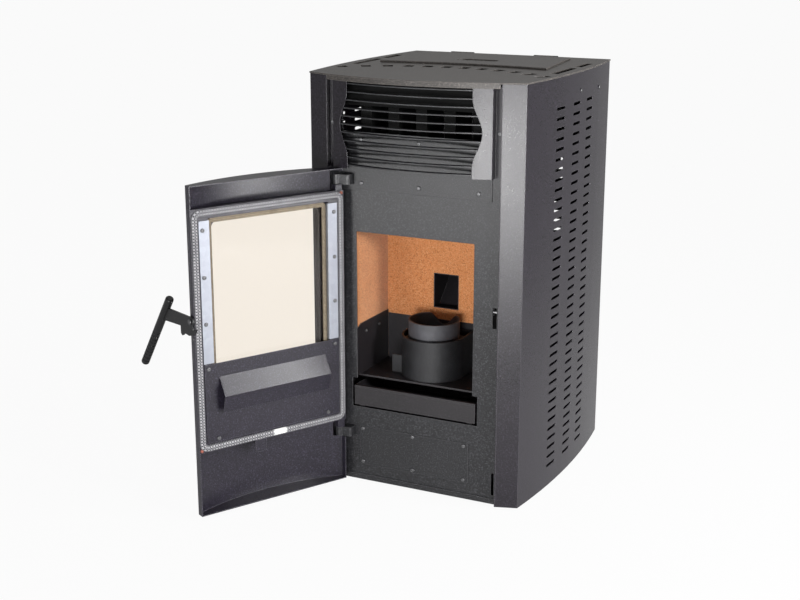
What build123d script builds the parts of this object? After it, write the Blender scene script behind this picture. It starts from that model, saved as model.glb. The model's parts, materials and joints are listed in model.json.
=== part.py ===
from build123d import *
import math
import os

# Pellet stove, free-standing, with the fire door swung open.
# Millimetres. X is the width (to the right), Y the depth (to the back), Z up.
# The origin is on the floor, below the middle of the casing.

# ---------------------------------------------------------------- driving sizes
# Casing
CASE_W = 518.0          # width over the corners
CASE_D = 554.0          # depth, front corners to rear corners
CASE_H = 950.0          # underside of the casing to the top plate
FOOT_H = 8.0            # gap under the casing
FOOT_INSET = 44.0       # feet in from the corners
SHEET = 2.0             # casing sheet
SIDE_BOW = 19.0         # how far each side bulges at its middle
FRONT_BOW = 58.4        # how far the top plate bulges to the front
TOP_SHEET = 3.0         # top plate
TOP_OVERHANG = 1.5      # top plate past the side panels
TRIM_W = 50.0           # front trim, across
TRIM_RISE = 16.3        # front trim, how far its inner edge comes forward
REAR_LIP = 22.0         # rear turned edge of a side panel
LIP_H = 10.0            # turned-down front lip of the top plate
LIP_INSET = 4.0
FIT = 0.3               # gap between neighbours that don't touch
RUN = 0.05              # radial clearance of a pin or shaft in its bore

# Side vents
VENT_L = 47.0
VENT_W = 7.0
VENT_PITCH = 22.4
VENT_ROWS = 38
VENT_LOW = 50.0         # lowest row above the underside
VENT_COLS = (-108.0, -11.0, 81.0)   # column centres along the depth

# Top vents and hopper lid
TOP_VENT_W = 24.0
TOP_VENT_L = 32.0
TOP_VENT_PITCH = 44.5
TOP_VENT_COUNT = 12
TOP_VENT_BACK = 217.0   # middle of the row behind the front corners
TOP_VENT_ARC = 372.0    # radius of the row, which curves forward at its ends
SIDE_VENT_W = 18.0
SIDE_VENT_INSET = 22.0
SIDE_VENT_LONG = 130.0
SIDE_VENT_SHORT = 80.0
SIDE_VENT_START = 190.0
SIDE_VENT_GAP = 30.0
LID_FRONT = 247.0       # its front corners, behind those of the casing
LID_SAG = 20.0          # how far its front edge curves back in the middle
LID_BACK = 505.0
LID_FRONT_W = 416.0
LID_BACK_W = 350.0
LID_T = 5.0
LID_RIM = 14.0          # how far the lid laps the opening at its back corners
LID_LAP = 9.0           # the same at the middle of its front
LID_RECESS_L = 104.0
LID_RECESS_W = 34.0
LID_RECESS_D = 2.5
LID_RECESS_BACK = 345.0
LID_PIN_R = 1.6
LID_KNUCKLE_R = 3.2
LID_KNUCKLE_L = 40.0
LID_HINGE_SPAN = 220.0

# Front plate and its openings, heights above the underside
PLATE_T = 3.0
PLATE_HALF = CASE_W / 2 - 45.0
FIRE_HALF = 144.5
FIRE_LOW = 250.0
FIRE_TOP = 597.7
ASH_HALF = 157.0
ASH_LOW = 180.0
COVER_HALF = 137.5
COVER_LOW = 39.0
COVER_TOP = 133.5
COVER_T = 1.6
HATCH_MARGIN = 17.0     # access opening inside its cover
OUTLET_HALF = CASE_W / 2 - 83.0  # warm air window behind the louvres
OUTLET_LOW = 823.0
OUTLET_TOP = 934.0
RAIL_H = 13.0
RAIL_OUT = 2.4
RAIL_HALF = 204.0
LOUVRE_PLATE_HALF = 184.5
LOUVRE_PLATE_LOW = 693.5
LOUVRE_PLATE_TOP = 815.0
LOUVRE_PLATE_T = 1.6

# Louvre grille
BLADE_COUNT = 11
BLADE_PITCH = 17.9
BLADE_LOW = 753.0       # lowest blade above the underside
BLADE_T = 2.4
BLADE_DEPTH = 15.0
GRILLE_INSET = 10.0     # blade fronts behind the front edge of the top plate
CHEEK_OUT = CASE_W / 2 - 69.0
CHEEK_IN = CASE_W / 2 - 110.5
CHEEK_WAVE = 20.5
CHEEK_WAVE_AT = 842.0
CHEEK_WAVE_HALF = 74.0
CHEEK_LOW = 745.0
CHEEK_TOP = 938.0
CHEEK_T = 1.6
POST_W = 14.0           # screwed strip beside each cheek

# Fire chamber
WALL = 4.0
CHAMBER_HALF = 153.0
CHAMBER_DEPTH = 176.0
CHAMBER_TOP = 690.0
LINING = 25.0
SKIRT_TOP = 362.0
SKIRT_T = 2.0
SKIRT_CUT = 14.0
FLOOR_TOP = 250.5
FLOOR_T = 4.0
FLOOR_START = 28.0
CHUTE_HALF = 30.5
CHUTE_LOW = 391.0
CHUTE_TOP = 472.0
CHUTE_WALL = 1.5
LINER_GAP = 0.3         # chute liner in the hole of the board
CHUTE_TILT = 45.0

# Burn pot
POT_BACK = 110.0        # centre of the pot's round nose behind the front plate
POT_R = 75.5
POT_TOP = 346.0
POT_WALL = 5.0
POT_LUG_W = 24.0        # foot lug at the left
POT_LUG_H = 43.0
POT_LUG_T = 4.0
CUP_SINK = 14.0         # cup's flange below the holder's rim
LEDGE_R = 63.0
LEDGE_T = 4.0
CUP_R = 60.0
CUP_R_LOW = 50.0
CUP_LOW = 300.0
CUP_TOP = 382.0
CUP_WALL = 4.0
CUP_FLANGE_R = 68.0
CUP_SCOOP = 27.0        # depth of the scoop in the rim, below the chute
CUP_SCOOP_HALF = 38.0   # degrees either side
CUP_HOLE_R = 3.0
CUP_HOLES = 12

# Ash pan
PAN_HALF = 151.5
PAN_LOW = 185.0
PAN_TOP = 232.0
PAN_DEPTH = 150.0
PAN_T = 1.5
PAN_LIP = 8.0
PAN_BEAD = 1.0          # folded hem proud of the pan's front
PAN_BEAD_H = 5.0
RUNNER_IN = 10.0
RUNNER_W = 12.0
PAN_TRAVEL = 150.0

# Fire door, shut: heights above the underside, depths outward from its inner face
DOOR_HALF = 190.5
DOOR_LOW = 4.0
DOOR_TOP = 744.0
DOOR_GAP = 5.2          # inner face in front of the front plate
DOOR_EDGE = 17.2        # depth of the turned edges
DOOR_BOW = 35.6
DOOR_SHEET = 2.2
DOOR_OPEN = 118.26      # degrees, as stored
DOOR_MORE = 16.7        # degrees further to the stop
FRAME_T = 11.0
FRAME_LOW = 152.5
FRAME_TOP = 694.0
ROPE_R = 7.2
ROPE_IN = 8.9           # rope centre inside the frame's edge
ROPE_SINK = 2.3         # rope centre below the inner face
ROPE_BEND = 12.0
GROOVE_GAP = 0.2
POCKET_HALF = 150.0
POCKET_LOW = 318.0
POCKET_TOP = 672.0
POCKET_D = 16.4
WINDOW_HALF = 134.0
WINDOW_LOW = 332.0
WINDOW_TOP = 660.0
WINDOW_R = 12.0
SEAT_T = 2.0
COLLAR_T = 1.6
GLASS_T = 4.0
GLASS_ROPE_T = 5.0
GLASS_ROPE_W = 11.0
RETAINER_W = 22.0
RETAINER_T = 1.5
RETAINER_LOW = 354.0
DEFLECTOR_HALF = 171.0
DEFLECTOR_LOW = 173.0
DEFLECTOR_TOP = 352.0
DEFLECTOR_T = 2.0
POUCH_HALF = 136.0
POUCH_TOP = 321.0
POUCH_RIDGE = 281.0
POUCH_LOW = 241.0
POUCH_OUT = 23.0
POUCH_FOOT = 13.0
TAB_W = 28.0
TAB_LOW = 124.0
TAB_SIDE = 22.0

# Door hinges
HINGE_IN = 8.0          # pin centre inside the door's edge
HINGE_OUT = 15.0        # pin centre outward from the inner face
HINGE_PIN_R = 3.5
HINGE_EYE_R = 7.5
HINGE_H = 22.0
HINGE_REACH = 32.0
HINGE_HIGH_AT = 718.0
HINGE_LOW_AT = 121.0
HINGE_CLEAR = 0.4
NOTCH_SIDE = 3.0
LUG_L = 12.0
PIN_ENGAGE = 11.0

# Latch and handle, in the plane of the lever: outward and up from the pivot, handle down
PIVOT_OUT = 5.5
PIVOT_UP = 453.0
LEVER_T = 4.5
LEVER_GAP = 2.2
HANDLE_LIFT = 38.1      # degrees from shut, as stored
KEEPER_BACK = 8.0
KEEPER_UP = 448.6
KEEPER_R = 3.0
KEEPER_GAP = 0.7
HOOK_TIP = 6.0
GRIP_OUT = 94.5
GRIP_TOP = -36.0
GRIP_LOW = -270.0
GRIP_R = 9.2
RIB_COUNT = 10
RIB_PITCH = 11.2
RIB_W = 4.0
RIB_D = 0.9
SLOT_W = 10.0
SLOT_LOW = 412.5
SLOT_TOP = 460.0
LOW_SLOT_W = 6.5
LOW_SLOT_LOW = 20.3
LOW_SLOT_TOP = 73.3

# Feed
HOPPER_SHEET = 1.5
HOPPER_WAIST = 690.0
THROAT_TOP = 545.0
THROAT_HALF = 26.0
THROAT_AT = 405.0
AUGER_TILT = 45.0
AUGER_R = 24.0
AUGER_TUBE_R = 30.0
AUGER_TUBE_WALL = 3.0
AUGER_SHAFT_R = 6.0
AUGER_PITCH = 38.0
AUGER_TURNS = 6
AUGER_FLIGHT_T = 3.0
AUGER_FOOT_BACK = CASE_D - 102.0
AUGER_FOOT_UP = 400.0
AUGER_LENGTH = 262.0
MOTOR_R = 27.0
MOTOR_L = 54.0
GEARBOX_L = 30.0

# Air and smoke
TUBE_COUNT = 5
TUBE_PITCH = 68.0
TUBE_W = 26.0
TUBE_D = 90.0
TUBE_WALL = 1.5
TUBE_FRONT = 36.0
HEADER_H = 66.0
HEADER_TOP = CASE_H - 6.0
DUCT_W = 34.0
DUCT_D = 40.0
FLUE_R = 40.0
FLUE_WALL = 1.5
FLUE_OUT = 50.0
FLANGE_W = 14.0
FLANGE_T = 2.0
FAN_BACK = CASE_D - 122.0        # smoke fan behind the front corners
FAN_UP = 150.0
VOLUTE_R = 74.0
VOLUTE_W = 84.0
VOLUTE_WALL = 2.0
IMPELLER_R = 56.0
IMPELLER_W = 30.0
BLADES = 8
SMOKE_MOTOR_R = 34.0
SMOKE_MOTOR_L = 50.0
INTAKE_R = 25.0
INTAKE_WALL = 2.0
INTAKE_STEP = 1.0       # inner run slimmer than the outer end
INTAKE_UP = 281.0
INTAKE_OUT = 36.0
BLOWER_L = 260.0
BLOWER_R = 32.0
BLOWER_AT = 262.0
BLOWER_UP = 96.0
BLOWER_FINS = 18
BLOWER_CASE = 90.0
BLOWER_MOTOR_R = 26.0
BLOWER_MOTOR_L = 44.0
FAN_SHAFT_R = 4.0
IGNITER_R = 5.0
IGNITER_X = 44.0
IGNITER_TAIL = 30.0

# Rear panel
INLET_X = -178.0
INLET_UP = 82.0
INLET_W = 28.0
INLET_H = 22.0
INLET_D = 26.0
SWITCH_UP = 122.0
SWITCH_W = 20.0
SWITCH_H = 13.0
SWITCH_TILT = 9.0
BOARD_W = 130.0
BOARD_H = 160.0
BOARD_UP = 190.0
REAR_VENT_ROWS = 9

# Screws
SCREW_R = 4.5
SCREW_H = 2.6
SHANK_R = 2.0
SHANK_L = 6.0

# ---------------------------------------------------------------- places worked out
Z0 = FOOT_H
FRONT = -CASE_D / 2                     # front face of the front plate, in line with the corners
REAR = CASE_D / 2
BACK_FACE = REAR - TOP_OVERHANG + SHEET # outer face of the rear panel
TOP_Z = Z0 + CASE_H
PANEL_HALF = CASE_W / 2 - TOP_OVERHANG
PANEL_TOP = TOP_Z - TOP_SHEET
TRIM_IN = PANEL_HALF - TRIM_W           # inner edge of each front trim
TRIM_Y = FRONT + TOP_OVERHANG - TRIM_RISE
FACE = FRONT - DOOR_GAP                 # inner face of the shut door
HINGE_X = -DOOR_HALF + HINGE_IN
HINGE_Y = FACE - HINGE_OUT
LEVER_X = DOOR_HALF + LEVER_GAP + LEVER_T / 2
PIVOT_Y = FACE - PIVOT_OUT
PIVOT_Z = Z0 + PIVOT_UP
SLOT_X = LEVER_X
LINING_BACK = FRONT + CHAMBER_DEPTH
STEEL_BACK = LINING_BACK + LINING + FIT
FRONT_R = ((CASE_W / 2) ** 2 + FRONT_BOW ** 2) / (2 * FRONT_BOW)
FRONT_CY = FRONT - FRONT_BOW + FRONT_R
DUCT_X = CHAMBER_HALF + LINING + WALL - DUCT_W / 2
FAN_X = DUCT_X - DUCT_W / 2 - VOLUTE_W / 2
FAN_Y = FRONT + FAN_BACK
POT_BACK_Y = LINING_BACK - SKIRT_T - 2.0
LEDGE_Z = Z0 + POT_TOP - CUP_SINK       # top of the ledge that carries the cup
HOPPER_HALF = LID_BACK_W / 2 - LID_RIM  # inside of the bin and the opening above it
HOPPER_Y0 = FRONT + LID_FRONT + LID_SAG + LID_LAP
HOPPER_Y1 = FRONT + LID_BACK - LID_RIM
FLUE_Z = Z0 + FAN_UP + VOLUTE_R - FLUE_R - VOLUTE_WALL
INTAKE_Z = Z0 + INTAKE_UP


# ---------------------------------------------------------------- helpers
def block(x0, x1, y0, y1, z0, z1):
    return Pos((x0 + x1) / 2, (y0 + y1) / 2, (z0 + z1) / 2) * Box(x1 - x0, y1 - y0, z1 - z0)


def rod_x(y, z, r, x0, x1):
    return Pos((x0 + x1) / 2, y, z) * Rot(0, 90, 0) * Cylinder(r, x1 - x0)


def rod_y(x, z, r, y0, y1):
    return Pos(x, (y0 + y1) / 2, z) * Rot(90, 0, 0) * Cylinder(r, y1 - y0)


def rod_z(x, y, r, z0, z1):
    return Pos(x, y, (z0 + z1) / 2) * Cylinder(r, z1 - z0)


def prism(face, z0, z1):
    """A plan outline raised from z0 to z1."""
    return Pos(0, 0, z0) * extrude(face, z1 - z0)


def group(parts):
    return Compound(children=list(parts))


def save(shape, node):
    export_step(shape, "parts/" + node + ".step")


def front_arc_y(x, inset=0.0):
    """Depth of the bowed front line at x, set back by inset."""
    return FRONT_CY - math.sqrt((FRONT_R - inset) ** 2 - x * x)


def arc_band(x0, x1, inset, depth):
    """Plan face between two concentric front arcs, from x0 to x1."""
    xm = (x0 + x1) / 2
    far = inset + depth
    a = (x0, front_arc_y(x0, inset))
    b = (x1, front_arc_y(x1, inset))
    c = (x1, front_arc_y(x1, far))
    d = (x0, front_arc_y(x0, far))
    outer = ThreePointArc(a, (xm, front_arc_y(xm, inset)), b)
    inner = ThreePointArc(c, (xm, front_arc_y(xm, far)), d)
    return make_face([outer, Line(b, c), inner, Line(d, a)])


def pan_screw_y(x, y, z):
    """Pan-head screw whose head stands on a face at y and points to the front."""
    head = rod_y(x, z, SCREW_R, y - SCREW_H, y)
    head = fillet(head.edges().group_by(Axis.Y)[0], SCREW_H * 0.6)
    socket = rod_y(x, z, SCREW_R * 0.42, y - SCREW_H, y - SCREW_H * 0.5)
    return head - socket + rod_y(x, z, SHANK_R, y, y + SHANK_L)


def screw_hole_y(x, y, z, depth):
    return rod_y(x, z, SHANK_R + FIT / 2, y - depth, y + depth)


def ring_xz(outer_half, low, high, width, r_out):
    """Rectangular ring in the door's plane, as a face on XZ."""
    h = high - low
    mid = (high + low) / 2
    r_in = max(r_out - width, 0.5)
    face = RectangleRounded(2 * outer_half, h, r_out)
    face -= RectangleRounded(2 * (outer_half - width), h - 2 * width, r_in)
    return Pos(0, 0, mid) * Rot(90, 0, 0) * face


def slab_xz(half, low, high, r, y_front, y_back):
    """Flat plate with rounded corners, upright, from y_front to y_back."""
    face = RectangleRounded(2 * half, high - low, r)
    solid = extrude(face, y_back - y_front)
    return Pos(0, y_back, (low + high) / 2) * Rot(90, 0, 0) * solid


# ---------------------------------------------------------------- casing
def side_section():
    """Plan section of the right side panel: bowed wall, front trim and turned edges."""
    x = PANEL_HALF
    y0 = FRONT + TOP_OVERHANG
    y1 = REAR - TOP_OVERHANG
    t = SHEET
    outer = ThreePointArc((x, y0), (x + SIDE_BOW, 0), (x, y1))
    inner = ThreePointArc((x - t, y1), (x - t + SIDE_BOW, 0), (x - t, y0))
    wall = make_face([outer, Line((x, y1), (x - t, y1)), inner, Line((x - t, y0), (x, y0))])
    trim_points = [(x, y0), (TRIM_IN, TRIM_Y), (TRIM_IN, TRIM_Y + t), (x - t, y0 + t), (x, y0 + t)]
    trim = make_face(Polyline(trim_points, close=True))
    back = Pos(TRIM_IN + t / 2, (TRIM_Y + FRONT - FIT) / 2) * Rectangle(t, FRONT - FIT - TRIM_Y)
    lip = Pos(x - REAR_LIP / 2, y1 - t / 2) * Rectangle(REAR_LIP, t)
    return wall + trim + back + lip


def side_vents():
    """Tools for the columns of horizontal vent slots of the right side."""
    reach = SIDE_BOW + 2 * SHEET
    tools = []
    for row in range(VENT_ROWS):
        z = Z0 + VENT_LOW + row * VENT_PITCH
        for y in VENT_COLS:
            slot = extrude(SlotOverall(VENT_L, VENT_W), reach)
            tools.append(Pos(PANEL_HALF - 2 * SHEET, y, z) * Rot(0, 90, 0) * Rot(0, 0, 90) * slot)
    return tools


def right_side_panel():
    panel = prism(side_section(), Z0, PANEL_TOP)
    panel = panel - side_vents()
    for y, z in casing_screw_places():
        panel = panel - rod_x(y, z, SHANK_R + FIT / 2, PANEL_HALF - 5, PANEL_HALF + SIDE_BOW + 5)
    for x, z in rear_screw_places():
        panel = panel - screw_hole_y(x, REAR - TOP_OVERHANG, z, 5)
    return panel


def left_side_panel():
    return mirror(right_side_panel(), Plane.YZ)


def casing_screw_places():
    return [(12.0, Z0 + CASE_H - 45.0), (160.0, Z0 + CASE_H - 53.0)]


def rear_screw_places():
    x = PANEL_HALF - REAR_LIP / 2
    ups = [CASE_H * part for part in (0.042, 0.347, 0.653, 0.947)]
    return [(side * x, Z0 + up) for side in (-1, 1) for up in ups]


def side_face_x(y):
    """Outer face of the right side panel at y."""
    half = CASE_D / 2 - TOP_OVERHANG
    r = (half ** 2 + SIDE_BOW ** 2) / (2 * SIDE_BOW)
    return PANEL_HALF + SIDE_BOW - r + math.sqrt(r * r - y * y)


def casing_screws():
    screws = []
    for y, z in casing_screw_places():
        x = side_face_x(abs(y) - SCREW_R)
        head = fillet(rod_x(y, z, SCREW_R, x, x + SCREW_H).edges().group_by(Axis.X)[-1], SCREW_H * 0.6)
        right = head + rod_x(y, z, SHANK_R, x - SHANK_L, x)
        screws.append(right)
        screws.append(mirror(right, Plane.YZ))
    for x, z in rear_screw_places():
        screw = Rot(0, 0, 180) * pan_screw_y(0, 0, 0)
        screws.append(Pos(x, BACK_FACE, z) * screw)
    return group(screws)


def top_outline(grow):
    """Plan outline of the top: bowed front and sides, straight back."""
    w = CASE_W / 2 + grow
    y0 = FRONT - grow
    y1 = REAR + grow
    front = ThreePointArc((-w, y0), (0, y0 - FRONT_BOW), (w, y0))
    right = ThreePointArc((w, y0), (w + SIDE_BOW, 0), (w, y1))
    left = ThreePointArc((-w, y1), (-w - SIDE_BOW, 0), (-w, y0))
    return make_face([front, right, Line((w, y1), (-w, y1)), left])


def lid_outline():
    """Plan outline of the hopper lid: curved front edge, sides that close in to the back."""
    y0 = FRONT + LID_FRONT
    y1 = FRONT + LID_BACK
    a = LID_FRONT_W / 2
    b = LID_BACK_W / 2
    front = ThreePointArc((-a, y0), (0, y0 + LID_SAG), (a, y0))
    return make_face([front, Line((a, y0), (b, y1)), Line((b, y1), (-b, y1)), Line((-b, y1), (-a, y0))])


def bin_block(shrink, z0, z1):
    """Block over the opening of the bin, drawn in by shrink."""
    half = HOPPER_HALF - shrink
    return block(-half, half, HOPPER_Y0 + shrink, HOPPER_Y1 - shrink, z0, z1)


def top_vent_places():
    """Centres of the curved row of slots and the turn of each, in degrees."""
    places = []
    first = -(TOP_VENT_COUNT - 1) / 2 * TOP_VENT_PITCH
    for i in range(TOP_VENT_COUNT):
        x = first + i * TOP_VENT_PITCH
        y = FRONT + TOP_VENT_BACK - TOP_VENT_ARC + math.sqrt(TOP_VENT_ARC ** 2 - x * x)
        places.append((x, y, -math.degrees(math.asin(x / TOP_VENT_ARC))))
    return places


def top_plate():
    plate = prism(top_outline(0), TOP_Z - TOP_SHEET, TOP_Z)
    lip_half = TRIM_IN - SHEET - FIT
    lip = prism(arc_band(-lip_half, lip_half, LIP_INSET, SHEET), TOP_Z - TOP_SHEET - LIP_H, TOP_Z - TOP_SHEET)
    plate = plate + lip
    cuts = [bin_block(0, TOP_Z - 2 * TOP_SHEET, TOP_Z + TOP_SHEET)]
    for x, y, turn in top_vent_places():
        cuts.append(Pos(x, y, TOP_Z) * Rot(0, 0, turn) * Box(TOP_VENT_W, TOP_VENT_L, 4 * TOP_SHEET))
    side_x = CASE_W / 2 - SIDE_VENT_INSET + SIDE_BOW / 2
    second = SIDE_VENT_START + SIDE_VENT_LONG + SIDE_VENT_GAP
    for side in (-1, 1):
        x = side * side_x
        for start, length in ((SIDE_VENT_START, SIDE_VENT_LONG), (second, SIDE_VENT_SHORT)):
            y = FRONT + start + length / 2
            cuts.append(Pos(x, y, TOP_Z) * Box(SIDE_VENT_W, length, 4 * TOP_SHEET))
    return plate - cuts


def hopper_lid():
    """Pressed lid with a finger recess, a turned-down collar and two knuckles at its back."""
    z = TOP_Z + FIT
    lid = prism(lid_outline(), z, z + LID_T)
    lid = chamfer(lid.edges().group_by(Axis.Z)[-1], 1.5)
    collar = bin_block(1.5, z - 12, z) - bin_block(4.5, z - 13, z)
    recess = extrude(SlotOverall(LID_RECESS_L, LID_RECESS_W), LID_RECESS_D + 1)
    recess = Pos(0, FRONT + LID_RECESS_BACK, z + LID_T - LID_RECESS_D) * recess
    lid = lid + collar - recess
    for side in (-1, 1):
        x = side * LID_HINGE_SPAN / 2
        knuckle = rod_x(lid_pin_y(), lid_pin_z(), LID_KNUCKLE_R, x - LID_KNUCKLE_L / 2, x + LID_KNUCKLE_L / 2)
        arm = block(x - LID_KNUCKLE_L / 2, x + LID_KNUCKLE_L / 2,
                    FRONT + LID_BACK - 4, lid_pin_y(), z + 0.5, z + LID_T)
        lid = lid + knuckle + arm
        lid = lid - rod_x(lid_pin_y(), lid_pin_z(), LID_PIN_R + RUN, x - LID_KNUCKLE_L, x + LID_KNUCKLE_L)
    return lid


def lid_pin_y():
    return FRONT + LID_BACK + LID_KNUCKLE_R + 1.0


def lid_pin_z():
    return TOP_Z + LID_KNUCKLE_R + FIT


def lid_hinge_pins():
    """Fixed eyes beside the lid's knuckles, each with its pin."""
    parts = []
    for side in (-1, 1):
        x = side * LID_HINGE_SPAN / 2
        pin = rod_x(lid_pin_y(), lid_pin_z(), LID_PIN_R, x - LID_KNUCKLE_L / 2 - 12, x + LID_KNUCKLE_L / 2 + 12)
        for end in (-1, 1):
            ex = x + end * (LID_KNUCKLE_L / 2 + FIT + 5)
            eye = rod_x(lid_pin_y(), lid_pin_z(), LID_KNUCKLE_R, ex - 5, ex + 5)
            foot = block(ex - 5, ex + 5, lid_pin_y() - LID_KNUCKLE_R, lid_pin_y() + LID_KNUCKLE_R, TOP_Z, lid_pin_z())
            pin = pin + eye + foot
        parts.append(pin)
    return group(parts)


def foot_places():
    x = PANEL_HALF - FOOT_INSET
    return [(side * x, y) for side in (-1, 1) for y in (FRONT + FOOT_INSET, REAR - FOOT_INSET)]


def levelling_feet():
    feet = []
    for x, y in foot_places():
        pad = chamfer(rod_z(x, y, 17, 0, 5).edges().group_by(Axis.Z)[-1], 1)
        collar = rod_z(x, y, 8, 5, Z0)
        stem = rod_z(x, y, 4, Z0, Z0 + 18)
        feet.append(pad + collar + stem)
    return group(feet)


def base_pan():
    """Floor sheet of the casing with turned-up edges and holes for the feet."""
    half = PANEL_HALF - SHEET - 1.0
    y0 = FRONT + PLATE_T + FIT
    y1 = REAR - TOP_OVERHANG - SHEET - FIT
    pan = block(-half, half, y0, y1, Z0, Z0 + SHEET)
    pan = pan + block(-half + REAR_LIP, half - REAR_LIP, y1 - SHEET, y1, Z0, Z0 + 20)
    for x, y in foot_places():
        pan = pan - rod_z(x, y, 4 + FIT, Z0 - 1, Z0 + SHEET + 1)
    return pan


def base_rail():
    """Flat bar across the foot of the front plate, low enough for the door to pass over it."""
    return block(-RAIL_HALF, RAIL_HALF, FRONT - RAIL_OUT, FRONT, Z0, Z0 + RAIL_H)


def rear_panel():
    """Back sheet with vents and holes for the smoke outlet, air intake, mains inlet and switch."""
    y0 = REAR - TOP_OVERHANG
    y1 = y0 + SHEET
    half = PANEL_HALF - 1.0
    panel = block(-half, half, y0, y1, Z0 + 4, PANEL_TOP - 2)
    cuts = [rod_y(FAN_X, FLUE_Z, FLUE_R - FLUE_WALL, y0 - 5, y1 + 5)]
    cuts.append(rod_y(0, INTAKE_Z, INTAKE_R - INTAKE_STEP + FIT, y0 - 5, y1 + 5))
    cuts.append(block(INLET_X - INLET_W / 2 - FIT, INLET_X + INLET_W / 2 + FIT, y0 - 5, y1 + 5,
                      Z0 + INLET_UP - INLET_H / 2 - FIT, Z0 + INLET_UP + INLET_H / 2 + FIT))
    cuts.append(block(INLET_X - SWITCH_W / 2 - FIT - 1, INLET_X + SWITCH_W / 2 + FIT + 1, y0 - 5, y1 + 5,
                      Z0 + SWITCH_UP - SWITCH_H / 2 - FIT - 1, Z0 + SWITCH_UP + SWITCH_H / 2 + FIT + 1))
    for row in range(REAR_VENT_ROWS):
        for x in (-110.0, 0.0, 110.0):
            slot = extrude(SlotOverall(VENT_L * 1.6, VENT_W), 4 * SHEET)
            cuts.append(Pos(x, y1 + SHEET, Z0 + 520 + row * VENT_PITCH) * Rot(90, 0, 0) * slot)
    for x, z in rear_screw_places():
        cuts.append(screw_hole_y(x, y0, z, 5))
    return panel - cuts


# ---------------------------------------------------------------- front
def hinge_heights():
    return (Z0 + HINGE_LOW_AT, Z0 + HINGE_HIGH_AT)


def front_notches():
    """Cuts through which the hinge brackets leave the front plate."""
    cuts = []
    for z in hinge_heights():
        x1 = HINGE_X + HINGE_REACH + NOTCH_SIDE
        h = HINGE_H / 2 + 1.6
        cuts.append(block(HINGE_X + 8, x1, FRONT - 4, FRONT + PLATE_T + 1, z - h, z + h))
    return cuts


def plate_screw_places():
    """Screws of the louvre plate, then of the access cover."""
    places = []
    for part in (-0.705, 0.065, 0.835):
        x = LOUVRE_PLATE_HALF * part
        places.append((x, FRONT - LOUVRE_PLATE_T, Z0 + LOUVRE_PLATE_TOP - 8.0))
        places.append((x, FRONT - LOUVRE_PLATE_T, Z0 + LOUVRE_PLATE_LOW + 16.0))
    for part in (-0.945, -0.015, 0.916):
        x = COVER_HALF * part
        places.append((x, FRONT - COVER_T, Z0 + COVER_TOP - 6.0))
        places.append((x, FRONT - COVER_T, Z0 + COVER_LOW + 2.0 + SCREW_R))
    return places


def post_screw_places():
    x = CHEEK_OUT + (TRIM_IN - CHEEK_OUT) / 2 + 1.0
    z = Z0 + (CHEEK_LOW + CHEEK_TOP) / 2
    return [(side * x, FRONT - CHEEK_T, z) for side in (-1, 1)]


def front_plate():
    y0 = FRONT
    y1 = FRONT + PLATE_T
    plate = block(-PLATE_HALF, PLATE_HALF, y0, y1, Z0 + 1, Z0 + CHEEK_TOP)
    cuts = front_notches()
    cuts.append(block(-FIRE_HALF, FIRE_HALF, y0 - 1, y1 + 1, Z0 + FIRE_LOW - 1, Z0 + FIRE_TOP))
    cuts.append(block(-ASH_HALF, ASH_HALF, y0 - 1, y1 + 1, Z0 + ASH_LOW, Z0 + FIRE_LOW))
    cuts.append(block(-COVER_HALF + HATCH_MARGIN, COVER_HALF - HATCH_MARGIN, y0 - 1, y1 + 1,
                      Z0 + COVER_LOW + HATCH_MARGIN, Z0 + COVER_TOP - HATCH_MARGIN))
    cuts.append(block(-OUTLET_HALF, OUTLET_HALF, y0 - 1, y1 + 1, Z0 + OUTLET_LOW, Z0 + OUTLET_TOP))
    cuts.append(block(SLOT_X - SLOT_W / 2, SLOT_X + SLOT_W / 2, y0 - 1, y1 + 1, Z0 + SLOT_LOW, Z0 + SLOT_TOP))
    low_x = SLOT_X + SLOT_W / 2
    cuts.append(block(low_x - LOW_SLOT_W, low_x, y0 - 1, y1 + 1, Z0 + LOW_SLOT_LOW, Z0 + LOW_SLOT_TOP))
    for x, y, z in plate_screw_places() + post_screw_places():
        cuts.append(screw_hole_y(x, y0, z, 5))
    return plate - cuts


def louvre_plate():
    plate = block(-LOUVRE_PLATE_HALF, LOUVRE_PLATE_HALF, FRONT - LOUVRE_PLATE_T, FRONT,
                  Z0 + LOUVRE_PLATE_LOW, Z0 + LOUVRE_PLATE_TOP)
    cuts = front_notches()
    for x, y, z in plate_screw_places()[:6]:
        cuts.append(screw_hole_y(x, FRONT, z, 5))
    return plate - cuts


def access_cover():
    cover = slab_xz(COVER_HALF, Z0 + COVER_LOW, Z0 + COVER_TOP, 2, FRONT - COVER_T, FRONT)
    for x, y, z in plate_screw_places()[6:]:
        cover = cover - screw_hole_y(x, FRONT, z, 5)
    return cover


def skirt_screw_places():
    """Screws of the side skirts: depth behind the front plate and height."""
    return [(58.0, 348.0), (125.0, 347.0)]


def front_screws():
    screws = [pan_screw_y(x, y, z) for x, y, z in plate_screw_places() + post_screw_places()]
    for side in (-1, 1):
        for back, up in skirt_screw_places():
            x = CHAMBER_HALF - SKIRT_T
            screw = Rot(0, 0, -side * 90) * pan_screw_y(0, 0, 0)
            screws.append(Pos(side * x, FRONT + back, Z0 + up) * screw)
    return group(screws)


def grille_y(x):
    return front_arc_y(x, GRILLE_INSET)


def cheek_wave(z):
    """Inner edge of a cheek at a height above the underside."""
    off = abs(z - CHEEK_WAVE_AT)
    if off >= CHEEK_WAVE_HALF:
        return CHEEK_IN
    return CHEEK_IN + CHEEK_WAVE * (1 + math.cos(math.pi * off / CHEEK_WAVE_HALF)) / 2


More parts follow.
